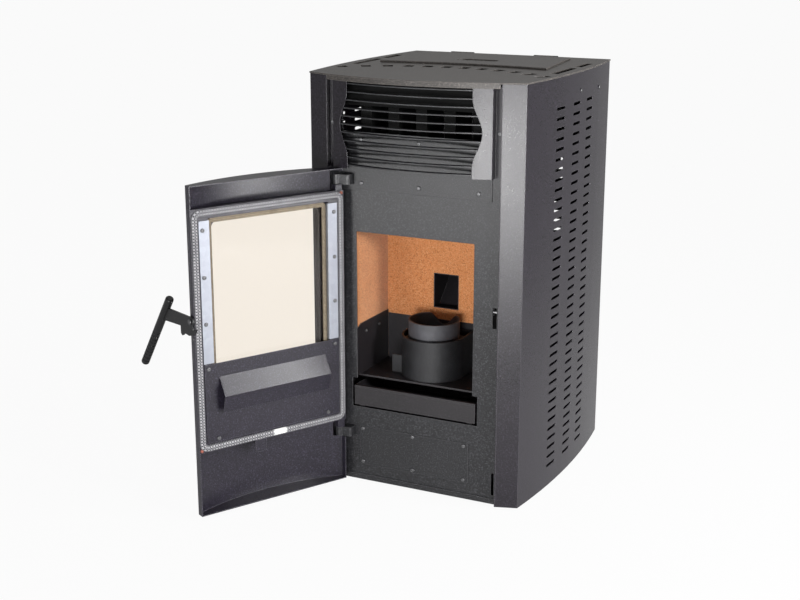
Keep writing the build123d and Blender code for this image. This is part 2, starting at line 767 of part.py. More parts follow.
def right_cheek():
    """Bowed cheek with a wavy inner edge, and the folded bracket behind its outer edge."""
    z0 = Z0 + CHEEK_LOW
    z1 = Z0 + CHEEK_TOP
    sheet = prism(arc_band(CHEEK_IN, CHEEK_OUT, GRILLE_INSET - CHEEK_T - FIT, CHEEK_T), z0, z1)
    steps = 24
    low = CHEEK_WAVE_AT - CHEEK_WAVE_HALF
    edge = [(CHEEK_IN - 1, Z0 + low - 2)]
    for i in range(1, steps):
        h = low + 2 * CHEEK_WAVE_HALF * i / steps
        edge.append((cheek_wave(h), Z0 + h))
    edge.append((CHEEK_IN - 1, Z0 + low + 2 * CHEEK_WAVE_HALF + 2))
    edge += [(CHEEK_IN - 20, edge[-1][1]), (CHEEK_IN - 20, edge[0][1])]
    scoop = Plane.XZ * make_face(Polyline(edge, close=True))
    sheet = sheet - Pos(0, FRONT + FRONT_BOW, 0) * extrude(scoop, CASE_D / 2, both=True)
    web_x = CHEEK_OUT - CHEEK_T
    web = block(web_x, CHEEK_OUT, front_arc_y(CHEEK_OUT, GRILLE_INSET - CHEEK_T), FRONT, z0, z1)
    strip_out = TRIM_IN - SHEET * 0.5
    strip = block(web_x, strip_out, FRONT - CHEEK_T, FRONT, z0, z1)
    bracket = web + strip
    for x, y, z in post_screw_places():
        bracket = bracket - screw_hole_y(x, FRONT, z, 5)
    return sheet + bracket


def left_cheek():
    return mirror(right_cheek(), Plane.YZ)


def louvre_blades():
    blades = []
    half = CHEEK_OUT - CHEEK_T - FIT
    outline = arc_band(-half, half, GRILLE_INSET, BLADE_DEPTH)
    outline = outline & (Pos(0, FRONT - CASE_D / 2 - LOUVRE_PLATE_T - FIT) * Rectangle(2 * CASE_W, CASE_D))
    for i in range(BLADE_COUNT):
        z = Z0 + BLADE_LOW + i * BLADE_PITCH
        blades.append(prism(outline, z - BLADE_T / 2, z + BLADE_T / 2))
    return group(blades)


def hinge_brackets():
    """Two arms welded behind the front plate, which pass through it and carry the door's pins."""
    arms = []
    for z in hinge_heights():
        z0 = z - HINGE_H / 2
        z1 = z + HINGE_H / 2
        eye = rod_z(HINGE_X, HINGE_Y, HINGE_EYE_R, z0, z1)
        x1 = HINGE_X + HINGE_REACH
        y0 = HINGE_Y - 2.0
        bar = block(HINGE_X, x1, y0, HINGE_Y + HINGE_EYE_R, z0, z1)
        y1 = FRONT + PLATE_T
        root = block(HINGE_X + 12, x1, y0, y1 + 1, z0, z1)
        arm = bar + root
        corner = arm.edges().filter_by(Axis.Z).sort_by(lambda e: (e.center() - Vector(x1, y0, z)).length)[0]
        foot = block(HINGE_X + 2, x1 + NOTCH_SIDE + 8, y1, y1 + 4, z0 - 6, z1 + 6)
        arms.append(fillet(corner, 7) + eye + foot)
    low, high = arms
    z_low = hinge_heights()[0] + HINGE_H / 2
    z_high = hinge_heights()[1] - HINGE_H / 2
    low = low + rod_z(HINGE_X, HINGE_Y, HINGE_PIN_R, z_low - 1, z_low + PIN_ENGAGE)
    high = high + rod_z(HINGE_X, HINGE_Y, HINGE_PIN_R, z_high - PIN_ENGAGE, z_high + 1)
    return group([low, high])


def latch_keeper():
    """Pin behind the latch slot, in two ears on the back of the front plate."""
    y = FRONT + KEEPER_BACK
    z = Z0 + KEEPER_UP
    x0 = SLOT_X - SLOT_W / 2
    x1 = SLOT_X + SLOT_W / 2
    y0 = FRONT + PLATE_T
    pin = rod_x(y, z, KEEPER_R, x0 - 3, x1 + 3)
    for a in (x0 - 4, x1 + 1):
        pin = pin + block(a, a + 3, y0, y0 + 11, z - 9, z + 9)
    return pin


# ---------------------------------------------------------------- fire chamber
def chamber_heights():
    return (Z0 + ASH_LOW - WALL - FIT, Z0 + CHAMBER_TOP)


def chute_sleeve(grow, y0, y1):
    """Square passage of the chute through the back of the chamber, grown by grow."""
    return block(-CHUTE_HALF - grow, CHUTE_HALF + grow, y0, y1, Z0 + CHUTE_LOW - grow, Z0 + CHUTE_TOP + grow)


def firebox_body():
    """Welded steel box behind the front plate, open to the front."""
    z0, z1 = chamber_heights()
    y0 = FRONT + PLATE_T
    inner = CHAMBER_HALF + LINING + FIT
    shell = block(-inner - WALL, inner + WALL, y0, STEEL_BACK + WALL, z0, z1 + WALL)
    hollow = block(-inner, inner, y0 - 1, STEEL_BACK, z0 + WALL, z1)
    shell = shell - hollow
    shell = shell - chute_sleeve(CHUTE_WALL + LINER_GAP, STEEL_BACK - 1, STEEL_BACK + WALL + 1)
    shell = shell - rod_y(0, INTAKE_Z, INTAKE_R - INTAKE_STEP + FIT, STEEL_BACK - 1, STEEL_BACK + WALL + 1)
    shell = shell - rod_y(IGNITER_X, INTAKE_Z, IGNITER_R + FIT, STEEL_BACK - 1, STEEL_BACK + WALL + 1)
    for x in tube_places():
        shell = shell - tube_core(x, z1 - 1, z1 + WALL + 1)
    return shell


def tube_places():
    first = -(TUBE_COUNT - 1) / 2 * TUBE_PITCH
    return [first + i * TUBE_PITCH for i in range(TUBE_COUNT)]


def tube_core(x, z0, z1):
    y0 = FRONT + TUBE_FRONT
    return block(x - TUBE_W / 2 + TUBE_WALL, x + TUBE_W / 2 - TUBE_WALL,
                 y0 + TUBE_WALL, y0 + TUBE_D - TUBE_WALL, z0, z1)


def exchanger_tubes():
    z0 = chamber_heights()[1] + WALL
    z1 = Z0 + HEADER_TOP - HEADER_H
    y0 = FRONT + TUBE_FRONT
    tubes = []
    for x in tube_places():
        tube = block(x - TUBE_W / 2, x + TUBE_W / 2, y0, y0 + TUBE_D, z0, z1)
        tubes.append(tube - tube_core(x, z0 - 1, z1 + 1))
    return group(tubes)


def duct_place():
    """Centre of the smoke duct, beside the fire chamber's rear corner."""
    return DUCT_X, STEEL_BACK + WALL + FIT + DUCT_D / 2


def exchanger_header():
    """Flat box that gathers smoke from the tubes and leads it to the duct."""
    z1 = Z0 + HEADER_TOP
    z0 = z1 - HEADER_H
    x_half = CHAMBER_HALF + LINING + WALL
    dx, dy = duct_place()
    y0 = FRONT + TUBE_FRONT - 10
    y1 = FRONT + TUBE_FRONT + TUBE_D + 10
    box = block(-x_half, x_half, y0, y1, z0, z1)
    arm = block(dx - DUCT_W / 2, dx + DUCT_W / 2, y1 - 5, dy + DUCT_D / 2, z0, z1)
    t = TUBE_WALL
    hollow = block(-x_half + t, x_half - t, y0 + t, y1 - t, z0 + t, z1 - t)
    hollow = hollow + block(dx - DUCT_W / 2 + t, dx + DUCT_W / 2 - t, y1 - 8, dy + DUCT_D / 2 - t, z0 + t, z1 - t)
    box = box + arm - hollow
    for x in tube_places():
        box = box - tube_core(x, z0 - 1, z0 + t + 1)
    return box - block(dx - DUCT_W / 2 + t, dx + DUCT_W / 2 - t, dy - DUCT_D / 2 + t, dy + DUCT_D / 2 - t,
                       z0 - 1, z0 + t + 1)


def flue_duct():
    """Upright duct from the header down to the smoke fan, with a foot that turns to it."""
    dx, dy = duct_place()
    t = TUBE_WALL
    z1 = Z0 + HEADER_TOP - HEADER_H
    z0 = Z0 + FAN_UP - DUCT_W / 2
    foot_y = FAN_Y + DUCT_D / 2
    foot_z = Z0 + FAN_UP + DUCT_W / 2
    duct = block(dx - DUCT_W / 2, dx + DUCT_W / 2, dy - DUCT_D / 2, dy + DUCT_D / 2, z0, z1)
    duct = duct + block(dx - DUCT_W / 2, dx + DUCT_W / 2, dy, foot_y, z0, foot_z)
    inner = block(dx - DUCT_W / 2 + t, dx + DUCT_W / 2 - t, dy - DUCT_D / 2 + t, dy + DUCT_D / 2 - t,
                  z0 + t, z1 + 1)
    inner = inner + block(dx - DUCT_W / 2 + t, dx + DUCT_W / 2 - t, dy, foot_y - t, z0 + t, foot_z - t)
    face_x = FAN_X + VOLUTE_W / 2
    port = rod_x(FAN_Y, Z0 + FAN_UP, DUCT_W / 2 - 2 * t, face_x - 5, dx)
    return duct - inner - port


def lining_back():
    half = CHAMBER_HALF + LINING
    back = block(-half, half, LINING_BACK, LINING_BACK + LINING, Z0 + FLOOR_TOP + 1, chamber_heights()[1] - FIT)
    back = back - chute_sleeve(CHUTE_WALL + LINER_GAP, LINING_BACK - 1, LINING_BACK + LINING + 1)
    back = back - rod_y(0, INTAKE_Z, INTAKE_R - INTAKE_STEP + FIT, LINING_BACK - 1, LINING_BACK + LINING + 1)
    return back - rod_y(IGNITER_X, INTAKE_Z, IGNITER_R + FIT, LINING_BACK - 1, LINING_BACK + LINING + 1)


def side_lining(side):
    a = side * CHAMBER_HALF
    b = side * (CHAMBER_HALF + LINING)
    return block(min(a, b), max(a, b), FRONT + PLATE_T + FIT, LINING_BACK, Z0 + FLOOR_TOP + 1,
                 chamber_heights()[1] - FIT)


def skirt_plates():
    """Dark sheet plates along the foot of the linings."""
    z0 = Z0 + FLOOR_TOP
    z1 = Z0 + SKIRT_TOP
    y0 = FRONT + PLATE_T + 1
    y1 = LINING_BACK - SKIRT_T
    plates = []
    for side in (-1, 1):
        x = side * (CHAMBER_HALF - SKIRT_T / 2)
        points = [(y0, z0), (y1, z0), (y1, z1 + 8), (y0 + SKIRT_CUT * 2, z1 + 10), (y0, z1 - 2)]
        face = make_face(Polyline(points, close=True))
        plate = Pos(x - SKIRT_T / 2, 0, 0) * extrude(Plane.YZ * face, SKIRT_T)
        for back, up in skirt_screw_places():
            plate = plate - rod_x(FRONT + back, Z0 + up, SHANK_R + FIT / 2, x - 5, x + 5)
        plates.append(plate)
    half = CHAMBER_HALF - SKIRT_T - FIT
    back = block(-half, half, y1, LINING_BACK, z0, z1)
    back = back - rod_y(0, INTAKE_Z, INTAKE_R - INTAKE_STEP + FIT, y1 - 1, LINING_BACK + 1)
    back = back - rod_y(IGNITER_X, INTAKE_Z, IGNITER_R + FIT, y1 - 1, LINING_BACK + 1)
    plates.append(back)
    return group(plates)


def skirt_screw_holes():
    cuts = []
    for side in (-1, 1):
        for back, up in skirt_screw_places():
            x = side * CHAMBER_HALF
            cuts.append(rod_x(FRONT + back, Z0 + up, SHANK_R + FIT / 2, min(x, x + side * 8), max(x, x + side * 8)))
    return cuts


def firebox_floor():
    """Shelf that carries the burn pot above the ash pan."""
    half = CHAMBER_HALF + LINING - FIT
    return block(-half, half, FRONT + FLOOR_START, STEEL_BACK - FIT, Z0 + FLOOR_TOP - FLOOR_T, Z0 + FLOOR_TOP)


def pot_plan(shrink):
    """Plan of the pot holder, drawn in by shrink: round nose, straight sides, flat back."""
    r = POT_R - shrink
    cy = FRONT + POT_BACK
    y1 = POT_BACK_Y - shrink
    nose = ThreePointArc((-r, cy), (0, cy - r), (r, cy))
    return make_face([nose, Line((r, cy), (r, y1)), Line((r, y1), (-r, y1)), Line((-r, y1), (-r, cy))])


def burn_pot_holder():
    """Cast holder with a round nose, open on top, with a ledge for the cup and a lug at its left foot."""
    cy = FRONT + POT_BACK
    z0 = Z0 + FLOOR_TOP
    z1 = Z0 + POT_TOP
    body = prism(pot_plan(0), z0, z1)
    body = fillet(body.edges().group_by(Axis.Z)[-1], 1.2)
    body = body - prism(pot_plan(POT_WALL), z0 + POT_WALL, z1 + 1)
    ledge = prism(pot_plan(POT_WALL - 0.5), LEDGE_Z - LEDGE_T, LEDGE_Z)
    ledge = ledge - rod_z(0, cy, LEDGE_R, LEDGE_Z - LEDGE_T - 1, LEDGE_Z + 1)
    lug_y = cy - POT_R * 0.45
    lug = block(-POT_R - POT_LUG_W * 0.7, -POT_R + POT_LUG_W * 0.4, lug_y, lug_y + POT_LUG_T, z0, z0 + POT_LUG_H)
    lug = lug - prism(pot_plan(POT_WALL), z0 + POT_WALL, z1)
    body = body + ledge + lug
    body = body - rod_y(0, INTAKE_Z, INTAKE_R - INTAKE_WALL, cy, POT_BACK_Y + 5)
    return body - rod_y(IGNITER_X, INTAKE_Z, IGNITER_R + FIT, cy, POT_BACK_Y + 5)


def burn_pot_cup():
    """Lift-out cup: upright wall with a scoop in its rim below the chute, a flange and a pierced floor."""
    cy = FRONT + POT_BACK
    z_low = Z0 + CUP_LOW
    z_top = Z0 + CUP_TOP
    z_seat = LEDGE_Z + FIT
    h = z_seat - z_low
    w = CUP_WALL
    y_flat = POT_BACK_Y - POT_WALL - 1.0
    cup = Pos(0, cy, z_low + h / 2) * Cone(CUP_R_LOW, CUP_R, h) + rod_z(0, cy, CUP_R, z_seat, z_top)
    cup = cup + rod_z(0, cy, CUP_FLANGE_R, z_seat, z_seat + 3)
    cup = cup - block(-CASE_W, CASE_W, y_flat, REAR, z_low - 1, z_top + 1)
    hollow = Pos(0, cy, z_low + w + h / 2) * Cone(CUP_R_LOW - w, CUP_R - w, h) + rod_z(0, cy, CUP_R - w, z_seat + w, z_top + 1)
    cup = cup - (hollow - block(-CASE_W, CASE_W, y_flat - w, REAR, z_low - 1, z_top + 2))
    steps = 12
    edge = []
    for i in range(steps + 1):
        a = CUP_SCOOP_HALF * (2 * i / steps - 1)
        dip = CUP_SCOOP * (1 + math.cos(math.pi * a / CUP_SCOOP_HALF)) / 2
        edge.append((CUP_R * math.sin(math.radians(a)), z_top - dip))
    close = Polyline([edge[-1], (edge[-1][0], z_top + 5), (edge[0][0], z_top + 5), edge[0]])
    scoop = Plane.XZ * make_face([Spline(edge), close])
    cup = cup - Pos(0, REAR, 0) * extrude(scoop, REAR - cy - 10)
    for i in range(CUP_HOLES):
        a = 360 / CUP_HOLES * i
        x = CUP_R_LOW * 0.55 * math.cos(math.radians(a))
        y = CUP_R_LOW * 0.55 * math.sin(math.radians(a))
        cup = cup - rod_z(x, cy + y, CUP_HOLE_R, z_low - 1, z_low + w + 1)
    return cup


def igniter():
    """Cartridge heater that reaches the back of the pot holder."""
    y0 = LINING_BACK - SKIRT_T - 10
    rod = rod_y(IGNITER_X, INTAKE_Z, IGNITER_R, y0, STEEL_BACK + WALL + IGNITER_TAIL)
    return rod + rod_y(IGNITER_X, INTAKE_Z, IGNITER_R + 5, STEEL_BACK + WALL + FIT, STEEL_BACK + WALL + 8)


def ash_pan():
    """Open pan with a folded front lip; it slides out to the front."""
    y0 = FRONT - 1.0
    y1 = y0 + PAN_DEPTH
    z0 = Z0 + PAN_LOW
    z1 = Z0 + PAN_TOP
    pan = block(-PAN_HALF, PAN_HALF, y0, y1, z0, z1)
    pan = pan - block(-PAN_HALF + PAN_T, PAN_HALF - PAN_T, y0 + PAN_T, y1 - PAN_T, z0 + PAN_T, z1 + 1)
    lip = block(-PAN_HALF, PAN_HALF, y0 + PAN_T, y0 + PAN_LIP, z1 - PAN_T, z1)
    bead = block(-PAN_HALF, PAN_HALF, y0 - PAN_BEAD, y0 + PAN_T, z1 - PAN_BEAD_H, z1)
    x0 = -PAN_HALF + RUNNER_IN
    runners = block(x0, x0 + RUNNER_W, y0 + 8, y1, Z0 + ASH_LOW, z0)
    runners = runners + mirror(runners, Plane.YZ)
    return pan + lip + bead + runners


# ---------------------------------------------------------------- fire door, shut
def door_turn(shape):
    """Swing a piece of the door from shut to its stored, open place."""
    return shape.rotate(Axis((HINGE_X, HINGE_Y, 0), (0, 0, 1)), -DOOR_OPEN)


def door_arc_face(depth_less, side_less):
    """Plan of the door's bowed body: straight inner side, bowed outer side."""
    w = DOOR_HALF - side_less
    edge = FACE - DOOR_EDGE + depth_less
    far = edge - DOOR_BOW
    outer = ThreePointArc((-w, edge), (0, far), (w, edge))
    return make_face([outer, Line((w, edge), (w, FACE)), Line((w, FACE), (-w, FACE)), Line((-w, FACE), (-w, edge))])


def door_skin():
    """Bowed outer pan with turned edges, a window and cuts for the hinges."""
    z0 = Z0 + DOOR_LOW
    z1 = Z0 + DOOR_TOP
    t = DOOR_SHEET
    pan = prism(door_arc_face(0, 0), z0, z1)
    hollow = prism(door_arc_face(t, t), z0 + t, z1 - t)
    pan = pan - hollow - block(-DOOR_HALF + t, DOOR_HALF - t, FACE - 1, FACE + 1, z0 + t, z1 - t)
    frame_space = block(-DOOR_HALF - 1, DOOR_HALF + 1, FACE - FRAME_T - FIT, FACE + 1,
                        Z0 + FRAME_LOW - FIT, Z0 + FRAME_TOP + FIT)
    pan = pan - frame_space
    window = slab_xz(WINDOW_HALF, Z0 + WINDOW_LOW, Z0 + WINDOW_TOP, WINDOW_R, FACE - 80, FACE - 12)
    pan = pan - window
    low_z, high_z = hinge_heights()
    h = HINGE_H / 2 + 3
    for a, b in ((low_z - h, Z0 + FRAME_LOW), (Z0 + FRAME_TOP, high_z + h + 5)):
        pan = pan - block(-DOOR_HALF - 1, HINGE_X + HINGE_EYE_R + 6, FACE - 40, FACE + 1, a, b)
    tab = block(TAB_SIDE, TAB_SIDE + TAB_W, FACE - 3, FACE - 1, Z0 + TAB_LOW, Z0 + FRAME_LOW - FIT)
    stem_y = FACE - DOOR_EDGE - DOOR_BOW + t
    stem = block(TAB_SIDE, TAB_SIDE + 2, stem_y, FACE - 1, Z0 + TAB_LOW, Z0 + FRAME_LOW - FIT)
    return pan + tab + stem


def rope_path(inset):
    """Closed path of the rope, upright at the door's inner face."""
    half = DOOR_HALF - inset
    h = FRAME_TOP - FRAME_LOW - 2 * inset
    mid = Z0 + (FRAME_TOP + FRAME_LOW) / 2
    outline = RectangleRounded(2 * half, h, ROPE_BEND)
    return Pos(0, FACE - ROPE_SINK, mid) * Rot(90, 0, 0) * outline.wire()


def rope_solid(r):
    path = rope_path(ROPE_IN)
    start = path @ 0
    return sweep(Plane(origin=start, z_dir=path % 0) * Circle(r), path=path)


def door_rope_gasket():
    return rope_solid(ROPE_R)


def window_collar():
    """Short wall between the glass seat and the bowed skin."""
    outer = slab_xz(WINDOW_HALF + COLLAR_T, Z0 + WINDOW_LOW - COLLAR_T, Z0 + WINDOW_TOP + COLLAR_T,
                    WINDOW_R + COLLAR_T, FACE - 80, FACE - POCKET_D)
    inner = slab_xz(WINDOW_HALF, Z0 + WINDOW_LOW, Z0 + WINDOW_TOP, WINDOW_R, FACE - 81, FACE - POCKET_D + 1)
    inside = prism(door_arc_face(DOOR_SHEET + FIT, DOOR_SHEET + FIT), Z0 + DOOR_LOW, Z0 + DOOR_TOP)
    return (outer - inner) & inside


def hinge_lug(z0, z1):
    """Eye plate on the end of the door frame."""
    x0 = HINGE_X - HINGE_EYE_R + 1.5
    x1 = HINGE_X + HINGE_EYE_R + 3
    lug = block(x0, x1, HINGE_Y - 3.9, FACE - 2.5, z0, z1)
    eye = rod_z(HINGE_X, HINGE_Y, HINGE_EYE_R - 1.5, z0, z1)
    return lug + eye


def door_frame():
    """Inner frame with a rope groove, a glass pocket, a window collar and the hinge lugs."""
    z0 = Z0 + FRAME_LOW
    z1 = Z0 + FRAME_TOP
    frame = block(-DOOR_HALF, DOOR_HALF, FACE - FRAME_T, FACE, z0, z1)
    pocket_box = slab_xz(POCKET_HALF + 4, Z0 + POCKET_LOW - 4, Z0 + POCKET_TOP + 4, 6,
                         FACE - POCKET_D - SEAT_T, FACE - 1)
    frame = frame + pocket_box
    frame = frame - slab_xz(POCKET_HALF, Z0 + POCKET_LOW, Z0 + POCKET_TOP, 3, FACE - POCKET_D, FACE + 1)
    frame = frame - slab_xz(WINDOW_HALF, Z0 + WINDOW_LOW, Z0 + WINDOW_TOP, WINDOW_R, FACE - 30, FACE + 1)
    frame = frame - rope_solid(ROPE_R + GROOVE_GAP)
    frame = frame + window_collar()
    low_z = hinge_heights()[0] + HINGE_H / 2 + HINGE_CLEAR
    high_z = hinge_heights()[1] - HINGE_H / 2 - HINGE_CLEAR
    frame = frame + hinge_lug(low_z, z0) + hinge_lug(z1, high_z)
    bore = HINGE_PIN_R + RUN
    frame = frame - rod_z(HINGE_X, HINGE_Y, bore, low_z - 1, z0 + 1)
    frame = frame - rod_z(HINGE_X, HINGE_Y, bore, z1 - 1, high_z + 1)
    for x, z in door_screw_places():
        frame = frame - screw_hole_y(x, FACE, z, SHANK_L + 2)
    return frame


def door_glass():
    return slab_xz(POCKET_HALF - 3, Z0 + POCKET_LOW + 3, Z0 + POCKET_TOP - 3, 2,
                   FACE - POCKET_D + FIT, FACE - POCKET_D + FIT + GLASS_T)


def glass_rope():
    """Flat woven rope round the edge of the glass."""
    y0 = FACE - POCKET_D + 2 * FIT + GLASS_T
    ring = ring_xz(POCKET_HALF - 1, Z0 + POCKET_LOW + 1, Z0 + POCKET_TOP - 1, GLASS_ROPE_W, 3)
    return Pos(0, y0 + GLASS_ROPE_T, 0) * extrude(ring, GLASS_ROPE_T)


def glass_retainers():
    """Left and right zinc strips: a flat flange on the frame and a leg down onto the rope."""
    z0 = Z0 + RETAINER_LOW
    z1 = Z0 + POCKET_TOP - 4
    rope_top = FACE - POCKET_D + 3 * FIT + GLASS_T + GLASS_ROPE_T
    strips = []
    for side in (-1, 1):
        a = side * (POCKET_HALF - 1.0 - RETAINER_T)
        b = side * (POCKET_HALF + RETAINER_W)
        flange = block(min(a, b), max(a, b), FACE, FACE + RETAINER_T, z0, z1)
        c = side * (POCKET_HALF - 1.0)
        leg = block(min(a, c), max(a, c), rope_top, FACE + RETAINER_T, z0, z1)
        strip = flange + leg
        for x, z in retainer_screw_places():
            strip = strip - screw_hole_y(x, FACE, z, 5)
        strips.append(strip)
    return group(strips)


def retainer_screw_places():
    x = POCKET_HALF + RETAINER_W * 0.62
    return [(side * x, Z0 + z) for side in (-1, 1) for z in (443.0, 545.5, 648.0)]


def deflector_screw_places():
    top = Z0 + DEFLECTOR_TOP - 10
    low = Z0 + DEFLECTOR_LOW + 7
    return [(-162.0, top), (162.0, top), (-141.0, low), (143.0, low)]


def door_screw_places():
    return retainer_screw_places() + deflector_screw_places()


def door_screws():
    screws = []
    for x, z in door_screw_places():
        lift = RETAINER_T if (x, z) in retainer_screw_places() else DEFLECTOR_T
        screw = Rot(0, 0, 180) * pan_screw_y(0, 0, 0)
        screws.append(Pos(x, FACE + lift, z) * screw)
    return group(screws)


def deflector_plate():
    """Lower plate with a folded pouch, open at its ends and foot."""
    plate = slab_xz(DEFLECTOR_HALF, Z0 + DEFLECTOR_LOW, Z0 + DEFLECTOR_TOP, 2, FACE, FACE + DEFLECTOR_T)
    y = FACE + DEFLECTOR_T
    t = DEFLECTOR_T
    outer = [(y - 0.5, Z0 + POUCH_TOP), (y + POUCH_OUT, Z0 + POUCH_RIDGE), (y + POUCH_FOOT, Z0 + POUCH_LOW)]
    inner = [(y + POUCH_FOOT - t, Z0 + POUCH_LOW), (y + POUCH_OUT - t * 1.3, Z0 + POUCH_RIDGE - t * 0.2),
             (y - 0.5, Z0 + POUCH_TOP - t * 1.8)]
    face = make_face(Polyline(outer + inner, close=True))
    pouch = Pos(-POUCH_HALF, 0, 0) * extrude(Plane.YZ * face, 2 * POUCH_HALF)
    plate = plate + pouch
    for x, z in deflector_screw_places():
        plate = plate - screw_hole_y(x, FACE, z, 5)
    return plate


# ---------------------------------------------------------------- handle
def lever_outline(points):
    """Plan face from points given outward and up from the pivot, with Y as X and Z as Y."""
    flat = [(PIVOT_Y - out, PIVOT_Z + up) for out, up in points]
    return make_face(Polyline(flat, close=True))


def handle_turn(shape):
    """Lift the handle from down to its stored place, then swing it with the door."""
    axis = Axis((LEVER_X, PIVOT_Y, PIVOT_Z), (1, 0, 0))
    return door_turn(shape.rotate(axis, -HANDLE_LIFT))


def hook_reach():
    """Distance from the pivot to the keeper pin when the door is shut, and its angle."""
    out = -(KEEPER_BACK + DOOR_GAP + PIVOT_OUT)
    up = KEEPER_UP - PIVOT_UP
    return math.hypot(out, up), math.degrees(math.atan2(up, out)) % 360


def polar(r, a):
    return (r * math.cos(math.radians(a)), r * math.sin(math.radians(a)))


def handle_lever():
    """Flat lever cut from one plate: hub, hook, stop spur and arm to the grip."""
    reach, at = hook_reach()
    gap = KEEPER_R + KEEPER_GAP
    r_in = reach - gap
    r_out = reach + gap
    r_tip = r_out + HOOK_TIP
    tip = at - 14
    end = at + 34
    seat = at + math.degrees(gap / reach)
    hook = [polar(r_in - 6, tip + 20), polar(r_in - 6, end)]
    hook += [polar(r_tip, end), polar(r_tip + 1, end - 16), polar(r_tip, seat)]
    hook += [polar(r_tip, tip), polar(r_out + 1.0, tip - 3), polar(r_out, tip)]
    hook += [polar(r_out, at), polar(r_out - 1.2, seat), polar(reach, seat + 2), polar(r_in, seat)]
    hook += [polar(r_in, at)]
    arm_end = GRIP_OUT - GRIP_R - RUN
    arm = [(-8, 6), (4, 9), (20, -4), (arm_end, -60), (arm_end, -100), (25, -44), (14, -57), (7, -56),
           (2.5, -42), (-14, -31), (-22, -20), (-10, -12)]
    hub = Pos(PIVOT_Y, PIVOT_Z) * Circle(12)
    hole = Pos(PIVOT_Y, PIVOT_Z) * Circle(3 + RUN)
    outline = lever_outline(hook) + lever_outline(arm) + hub - hole
    return Pos(LEVER_X - LEVER_T / 2, 0, 0) * extrude(Plane.YZ * outline, LEVER_T)


def handle_grip():
    """Round bar with domed ends and shallow rings cut in its lower half."""
    z0 = PIVOT_Z + GRIP_LOW
    z1 = PIVOT_Z + GRIP_TOP
    y = PIVOT_Y - GRIP_OUT
    grip = rod_z(LEVER_X, y, GRIP_R, z0, z1)
    grip = fillet(grip.edges().filter_by(GeomType.CIRCLE), 4)
    for i in range(RIB_COUNT):
        z = z0 + 14 + i * RIB_PITCH
        ring = rod_z(LEVER_X, y, GRIP_R + 2, z, z + RIB_W) - rod_z(LEVER_X, y, GRIP_R - RIB_D, z - 1, z + RIB_W + 1)
        grip = grip - ring
    return grip


def handle_pivot_bolt():
    """Stud welded to the edge of the frame, with the head that holds the lever on."""
    x1 = LEVER_X + LEVER_T / 2 + FIT
    shank = rod_x(PIVOT_Y, PIVOT_Z, 3, DOOR_HALF, x1)
    spacer = rod_x(PIVOT_Y, PIVOT_Z, 5, DOOR_HALF, LEVER_X - LEVER_T / 2 - FIT)
    head = rod_x(PIVOT_Y, PIVOT_Z, 6, x1, x1 + 3.2)
    head = fillet(head.edges().group_by(Axis.X)[-1], 1.5)
    return shank + spacer + head


def latch_side_screws():
    """Two button screws on the door's edge below the lever."""
    screws = []
    for out, up in ((5.5, PIVOT_UP - 20), (5.5, PIVOT_UP - 40)):
        head = rod_x(FACE - out, Z0 + up, 3.5, DOOR_HALF, DOOR_HALF + 1.6)
        screws.append(head)
    return screws


# ---------------------------------------------------------------- pellet feed
def auger_point(along, across=0.0):
    """A point on the auger's axis, measured up the slope from its foot."""
    a = math.radians(AUGER_TILT)
    y = FRONT + AUGER_FOOT_BACK - along * math.cos(a) + across * math.sin(a)
    z = Z0 + AUGER_FOOT_UP + along * math.sin(a) + across * math.cos(a)
    return y, z


def auger_rod(r, s0, s1):
    y, z = auger_point((s0 + s1) / 2)
    return Pos(0, y, z) * Rot(90 - AUGER_TILT, 0, 0) * Cylinder(r, s1 - s0)


def wall_ring(half, y0, y1, t):
    """Plan outlines of four mitred walls round a rectangle: front, right, back, left."""
    inner = [(-half, y0), (half, y0), (half, y1), (-half, y1)]
    outer = [(-half - t, y0 - t), (half + t, y0 - t), (half + t, y1 + t), (-half - t, y1 + t)]
    walls = []
    for i in range(4):
        j = (i + 1) % 4
        walls.append(make_face(Polyline([inner[i], outer[i], outer[j], inner[j]], close=True)))
    return walls


def hopper():
    """Bin of welded sheets under the lid: upright walls, a funnel and a throat that saddles the auger tube."""
    t = HOPPER_SHEET
    z_waist = Z0 + HOPPER_WAIST
    z_throat = Z0 + THROAT_TOP
    z_low = auger_point(0)[1]
    y_throat = FRONT + THROAT_AT
    y, z = auger_point(AUGER_LENGTH / 2)
    under = Pos(0, y, z) * Rot(90 - AUGER_TILT, 0, 0) * Pos(0, -CASE_D / 4, 0) * Box(CASE_W, CASE_D / 2, 2 * CASE_D)
    under = under + auger_rod(AUGER_TUBE_R + 0.1, -60, AUGER_LENGTH + 60)
    wide = wall_ring(HOPPER_HALF, HOPPER_Y0, HOPPER_Y1, t)
    narrow = wall_ring(THROAT_HALF, y_throat - THROAT_HALF, y_throat + THROAT_HALF, t)
    sheets = []
    for high, low in zip(wide, narrow):
        sheets.append(prism(high, z_waist, PANEL_TOP))
        sheets.append(loft([Pos(0, 0, z_throat) * low, Pos(0, 0, z_waist) * high], ruled=True))
        sheets.append(prism(low, z_low, z_throat) - under)
    return group([solid for sheet in sheets for solid in sheet.solids()])


